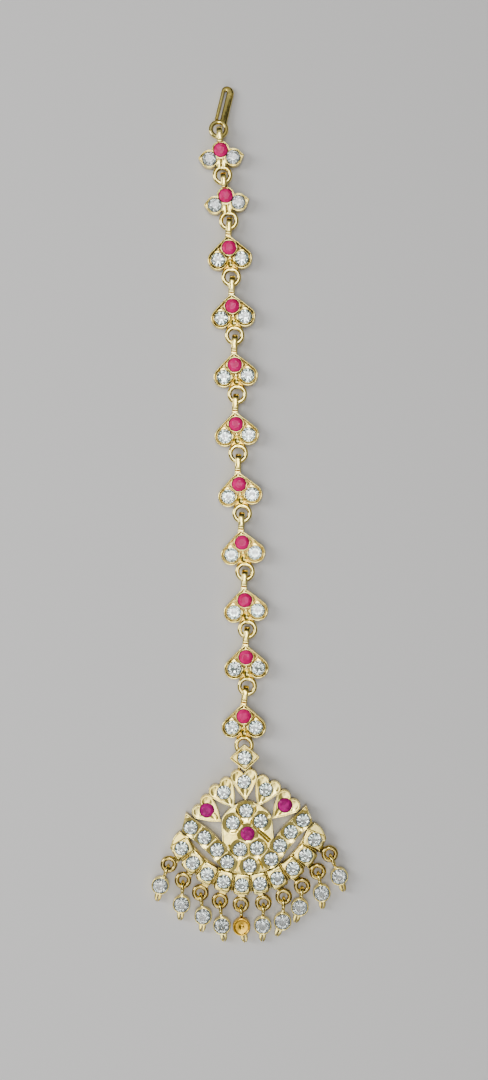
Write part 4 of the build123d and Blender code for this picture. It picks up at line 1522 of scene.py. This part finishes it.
@dataclass
class Drop:
    """Round stone in a bezel cup that hangs from a loop, with a split bud under it."""

    number: int
    swing: float  # from straight down, to the right
    reach: float  # from the middle of its ring to the middle of its bezel
    bud_turn: float
    over: bool = False  # whether it lies on its face
    bezel_r: float = 1.60
    back: float = 0.12
    rim: float = 1.82
    loop_y: float = 1.21  # from the middle of its ring to the middle of its loop
    loop_r: float = 0.95
    wire_r: float = 0.31
    level: float = 1.26  # height of the loop's middle
    neck_half: float = 0.33
    neck_overlap: Point = (0.05, 0.25)  # how far the neck runs into loop and bezel
    lobe: tuple[Point, ...] = (  # outline of the bud's right lobe
        (0.04, 0.35), (0.52, 0.30), (0.64, -0.45), (0.52, -0.98), (0.14, -1.43), (0.04, -1.24),
    )

    def cup(self) -> BMesh:
        """Turns the bezel cup, with a shallow hollow and a dimple in its back.

        Returns:
            The closed cup.
        """
        edge, rim, back = self.bezel_r, self.rim, self.back
        return lathed([
            (0.0, rim), (edge - 0.08, rim), (edge - 0.025, rim - 0.025), (edge, rim - 0.08),
            (edge, back + 0.14), (edge - 0.04, back + 0.04), (edge - 0.14, back), (edge - 0.24, back),
            (edge - 0.32, back + 0.05), (edge - 0.40, back + 0.18), (0.95, back + 0.22),
            (0.50, back + 0.20), (0.36, back + 0.24), (0.26, back + 0.32), (0.0, back + 0.34),
        ], steps=40)

    def shells(self) -> Workpiece:
        """Makes the drop's metal.

        Returns:
            The metal, with the middle of the pendant's ring at the origin.
        """
        metal = Workpiece("drop_pattern")
        cup = spot(0, -self.reach)
        metal.add(self.cup(), cup, Tone.BACK if self.over else Tone.POLISHED)
        collet = Collet(DROP_STONE, girdle=1.74, foot=1.0, top=self.rim, wall=0.16)
        metal.cut(collet.seat(), cup)
        loop = spot(0, -self.loop_y, z=self.level)
        metal.add(wire_ring(self.loop_r, self.wire_r, Axis.X), loop)
        self.add_neck(metal)
        bud = cup @ spot(0, 0, self.bud_turn) @ spot(0, -self.bezel_r)
        for side in (1, -1):
            lobe = plate_of(*sided(side, *self.lobe))
            metal.add(block(lobe, bottom=0.6, top=1.5, soft=0.11), bud)
        return metal.fused()

    def add_neck(self, metal: Workpiece) -> None:
        """Adds the neck between loop and bezel, where there is room for one.

        Args:
            metal: The drop's metal.
        """
        top = self.loop_y + self.loop_r - self.neck_overlap[0]
        end = self.reach - self.bezel_r + self.neck_overlap[1]
        if end > top:
            right = ((0.55, -end), (0.28, 0.45 - end), (0.26, -top))
            neck = plate_of(*reversed(sided(-1, *right)), *right)
            metal.add(block(neck, self.level - self.neck_half, self.level + self.neck_half, 0.12))

    def place(self, ring: Matrix, pendant_turn: float) -> Matrix:
        """Finds where the drop goes.

        Args:
            ring: The place of its ring on the pendant.
            pendant_turn: Turn of the pendant.

        Returns:
            The drop's place.
        """
        there = ring @ spot(0, 0, self.swing - pendant_turn)
        if self.over:
            flip = Matrix.Rotation(math.pi, 4, "Y")
            there = there @ spot(0, 0, z=self.level) @ flip @ spot(0, 0, z=-self.level)
        return there


DROPS = (
    Drop(1, -22.0, 4.12, 10.0), Drop(2, -3.5, 4.35, -2.0), Drop(3, 7.0, 4.25, -12.0),
    Drop(4, 4.5, 4.50, 4.0), Drop(5, 1.5, 3.90, -12.0, over=True), Drop(6, -1.5, 4.08, 0.0),
    Drop(7, -2.6, 4.46, -20.0), Drop(8, -6.5, 3.85, -10.0), Drop(9, 10.5, 3.93, -8.0),
    Drop(10, 23.0, 4.40, -6.0),
)
HEART_TURNS = (4.0, 4.5, 4.5, 4.5, 6.0, 5.5, 5.0, 2.5, 0.5)
FLOWER_TURNS = (4.0, 7.0)
DIAMOND_TURN = 2.0


# The studio


@dataclass(frozen=True)
class Lamp:
    """Soft light panel that looks at the object."""

    name: str
    place: Place  # in metres
    size: Point  # width and length, in metres
    power: float  # in watts

    def hang(self) -> None:
        """Hangs the panel."""
        data = bpy.data.lights.new(self.name, "AREA")
        data.shape = "RECTANGLE"
        data.size, data.size_y = self.size
        data.energy = self.power
        lamp = bpy.data.objects.new(self.name, data)
        lamp.location = self.place
        lamp.rotation_euler = (-Vector(self.place)).to_track_quat("-Z", "Y").to_euler()
        bpy.context.scene.collection.objects.link(lamp)


@dataclass
class Studio:
    """Pale floor, soft lights and the camera that looks straight down."""

    height: float = 0.255  # of the camera over the floor, in metres
    view: float = 0.19656  # length of the view's long side on the floor, in metres
    aim: Point = (-0.00105, -0.00478)  # the point on the floor under the camera, in metres
    floor_size: float = 2.0  # half its side, in metres
    air_colour: Place = (1.0, 0.97, 0.92)
    air_strength: float = 0.05
    lamps: tuple[Lamp, ...] = (
        Lamp("over_left", (-0.075, -0.20, 0.60), (0.13, 0.24), 0.32),
        Lamp("over_right", (0.035, -0.20, 0.60), (0.09, 0.24), 0.12),
        Lamp("over_chain", (-0.01, 0.09, 0.60), (0.08, 0.34), 0.85),
        Lamp("over_hook", (-0.03, 0.44, 0.60), (0.25, 0.26), 0.06),
        Lamp("over_all", (-0.05, 0.00, 0.75), (1.10, 1.10), 1.0),
        Lamp("left", (-0.45, 0.10, 0.35), (0.20, 0.40), 1.9),
        Lamp("front", (-0.10, -0.50, 0.30), (0.40, 0.20), 1.0),
    )

    def build(self) -> None:
        """Lays the floor, hangs the lights and sets the camera."""
        self.floor()
        for lamp in self.lamps:
            lamp.hang()
        self.air()
        self.camera()

    def floor(self) -> None:
        """Lays the floor."""
        bm = bmesh.new()
        bmesh.ops.create_grid(bm, x_segments=1, y_segments=1, size=self.floor_size)
        mesh = bpy.data.meshes.new("studio_floor")
        bm.to_mesh(mesh)
        bm.free()
        mesh.materials.append(FloorFinish().material())
        floor = bpy.data.objects.new("studio_floor", mesh)
        bpy.context.scene.collection.objects.link(floor)

    def air(self) -> None:
        """Sets the even light from all round."""
        world = bpy.data.worlds.new("studio_air")
        world.use_nodes = True
        back = world.node_tree.nodes["Background"]
        back.inputs["Color"].default_value = (*self.air_colour, 1.0)
        back.inputs["Strength"].default_value = self.air_strength
        bpy.context.scene.world = world

    def camera(self) -> None:
        """Sets the camera straight over the object."""
        data = bpy.data.cameras.new("studio_camera")
        data.sensor_fit = "AUTO"
        data.lens = data.sensor_width / self.view * self.height
        data.clip_start, data.clip_end = 0.01, 10.0
        camera = bpy.data.objects.new("studio_camera", data)
        camera.location = (*self.aim, self.height)
        bpy.context.scene.collection.objects.link(camera)
        bpy.context.scene.camera = camera


def lay(metal: Workpiece, place: Matrix, gold: Sequence[bpy.types.Material], name: str, node: str) -> None:
    """Lays a copy of some metal at its place and finishes it.

    Args:
        metal: The metal.
        place: Where the copy goes.
        gold: The golds, in the order of the tones.
        name: The object's name.
        node: The CAD node that it stands for.
    """
    piece = Workpiece(name)
    piece.take(metal.bm, place)
    piece.finish(gold, "gold", node)


def main() -> None:
    """Builds every piece in order, then the studio."""
    gold = [finish.material() for finish in GOLDS]
    crystal, milky, pink, magenta = [finish.material() for finish in STONES]

    for kind, link, turns in (("heart", HeartLink(), HEART_TURNS), ("flower", FlowerLink(), FLOWER_TURNS)):
        metal = link.shells()
        for number, turn in enumerate(turns, start=1):
            place = spot(*middle_of(f"{kind}_ruby_{number}"), turn)
            lay(metal, place, gold, f"{kind}_link_metal_{number}", f"{kind}_link_{number}")
    hook = Hook()
    lay(hook.shells(), hook.place(middle_of("flower_ruby_1")), gold, "hook_metal", "hook")
    diamond = DiamondLink()
    x, y = middle_of("diamond_crystal")
    lay(diamond.shells(), spot(x, y, DIAMOND_TURN), gold, "diamond_link_metal", "diamond_link")

    pendant = Pendant()
    place = spot(*middle_of("pendant_centre_ruby"), pendant.turn)
    hold = place.inverted() @ Vector((x + diamond.pendant_ring[0], y + diamond.pendant_ring[1], 0.0))
    lay(pendant.shells((hold.x, hold.y)), place, gold, "pendant_metal", "pendant_frame")
    for drop, angle in zip(DROPS, pendant.fan.rings()):
        ring = place @ spot(*pendant.fan.point(pendant.fan.ring_r, angle))
        there = drop.place(ring, pendant.turn)
        lay(drop.shells(), there, gold, f"drop_metal_{drop.number}", f"drop_{drop.number}")

    for name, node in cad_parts.items():
        if "crystal" in name or "rub" in name:
            node.data.materials.clear()
            red = magenta if name.startswith("pendant") else pink
            white = milky if name.startswith(("drop", "flower")) else crystal
            node.data.materials.append(red if "rub" in name else white)
    LOG.info("stones")

    Studio().build()


if __name__ == "__main__":
    logging.basicConfig(level=logging.INFO, format="%(relativeCreated)d %(message)s")
    main()
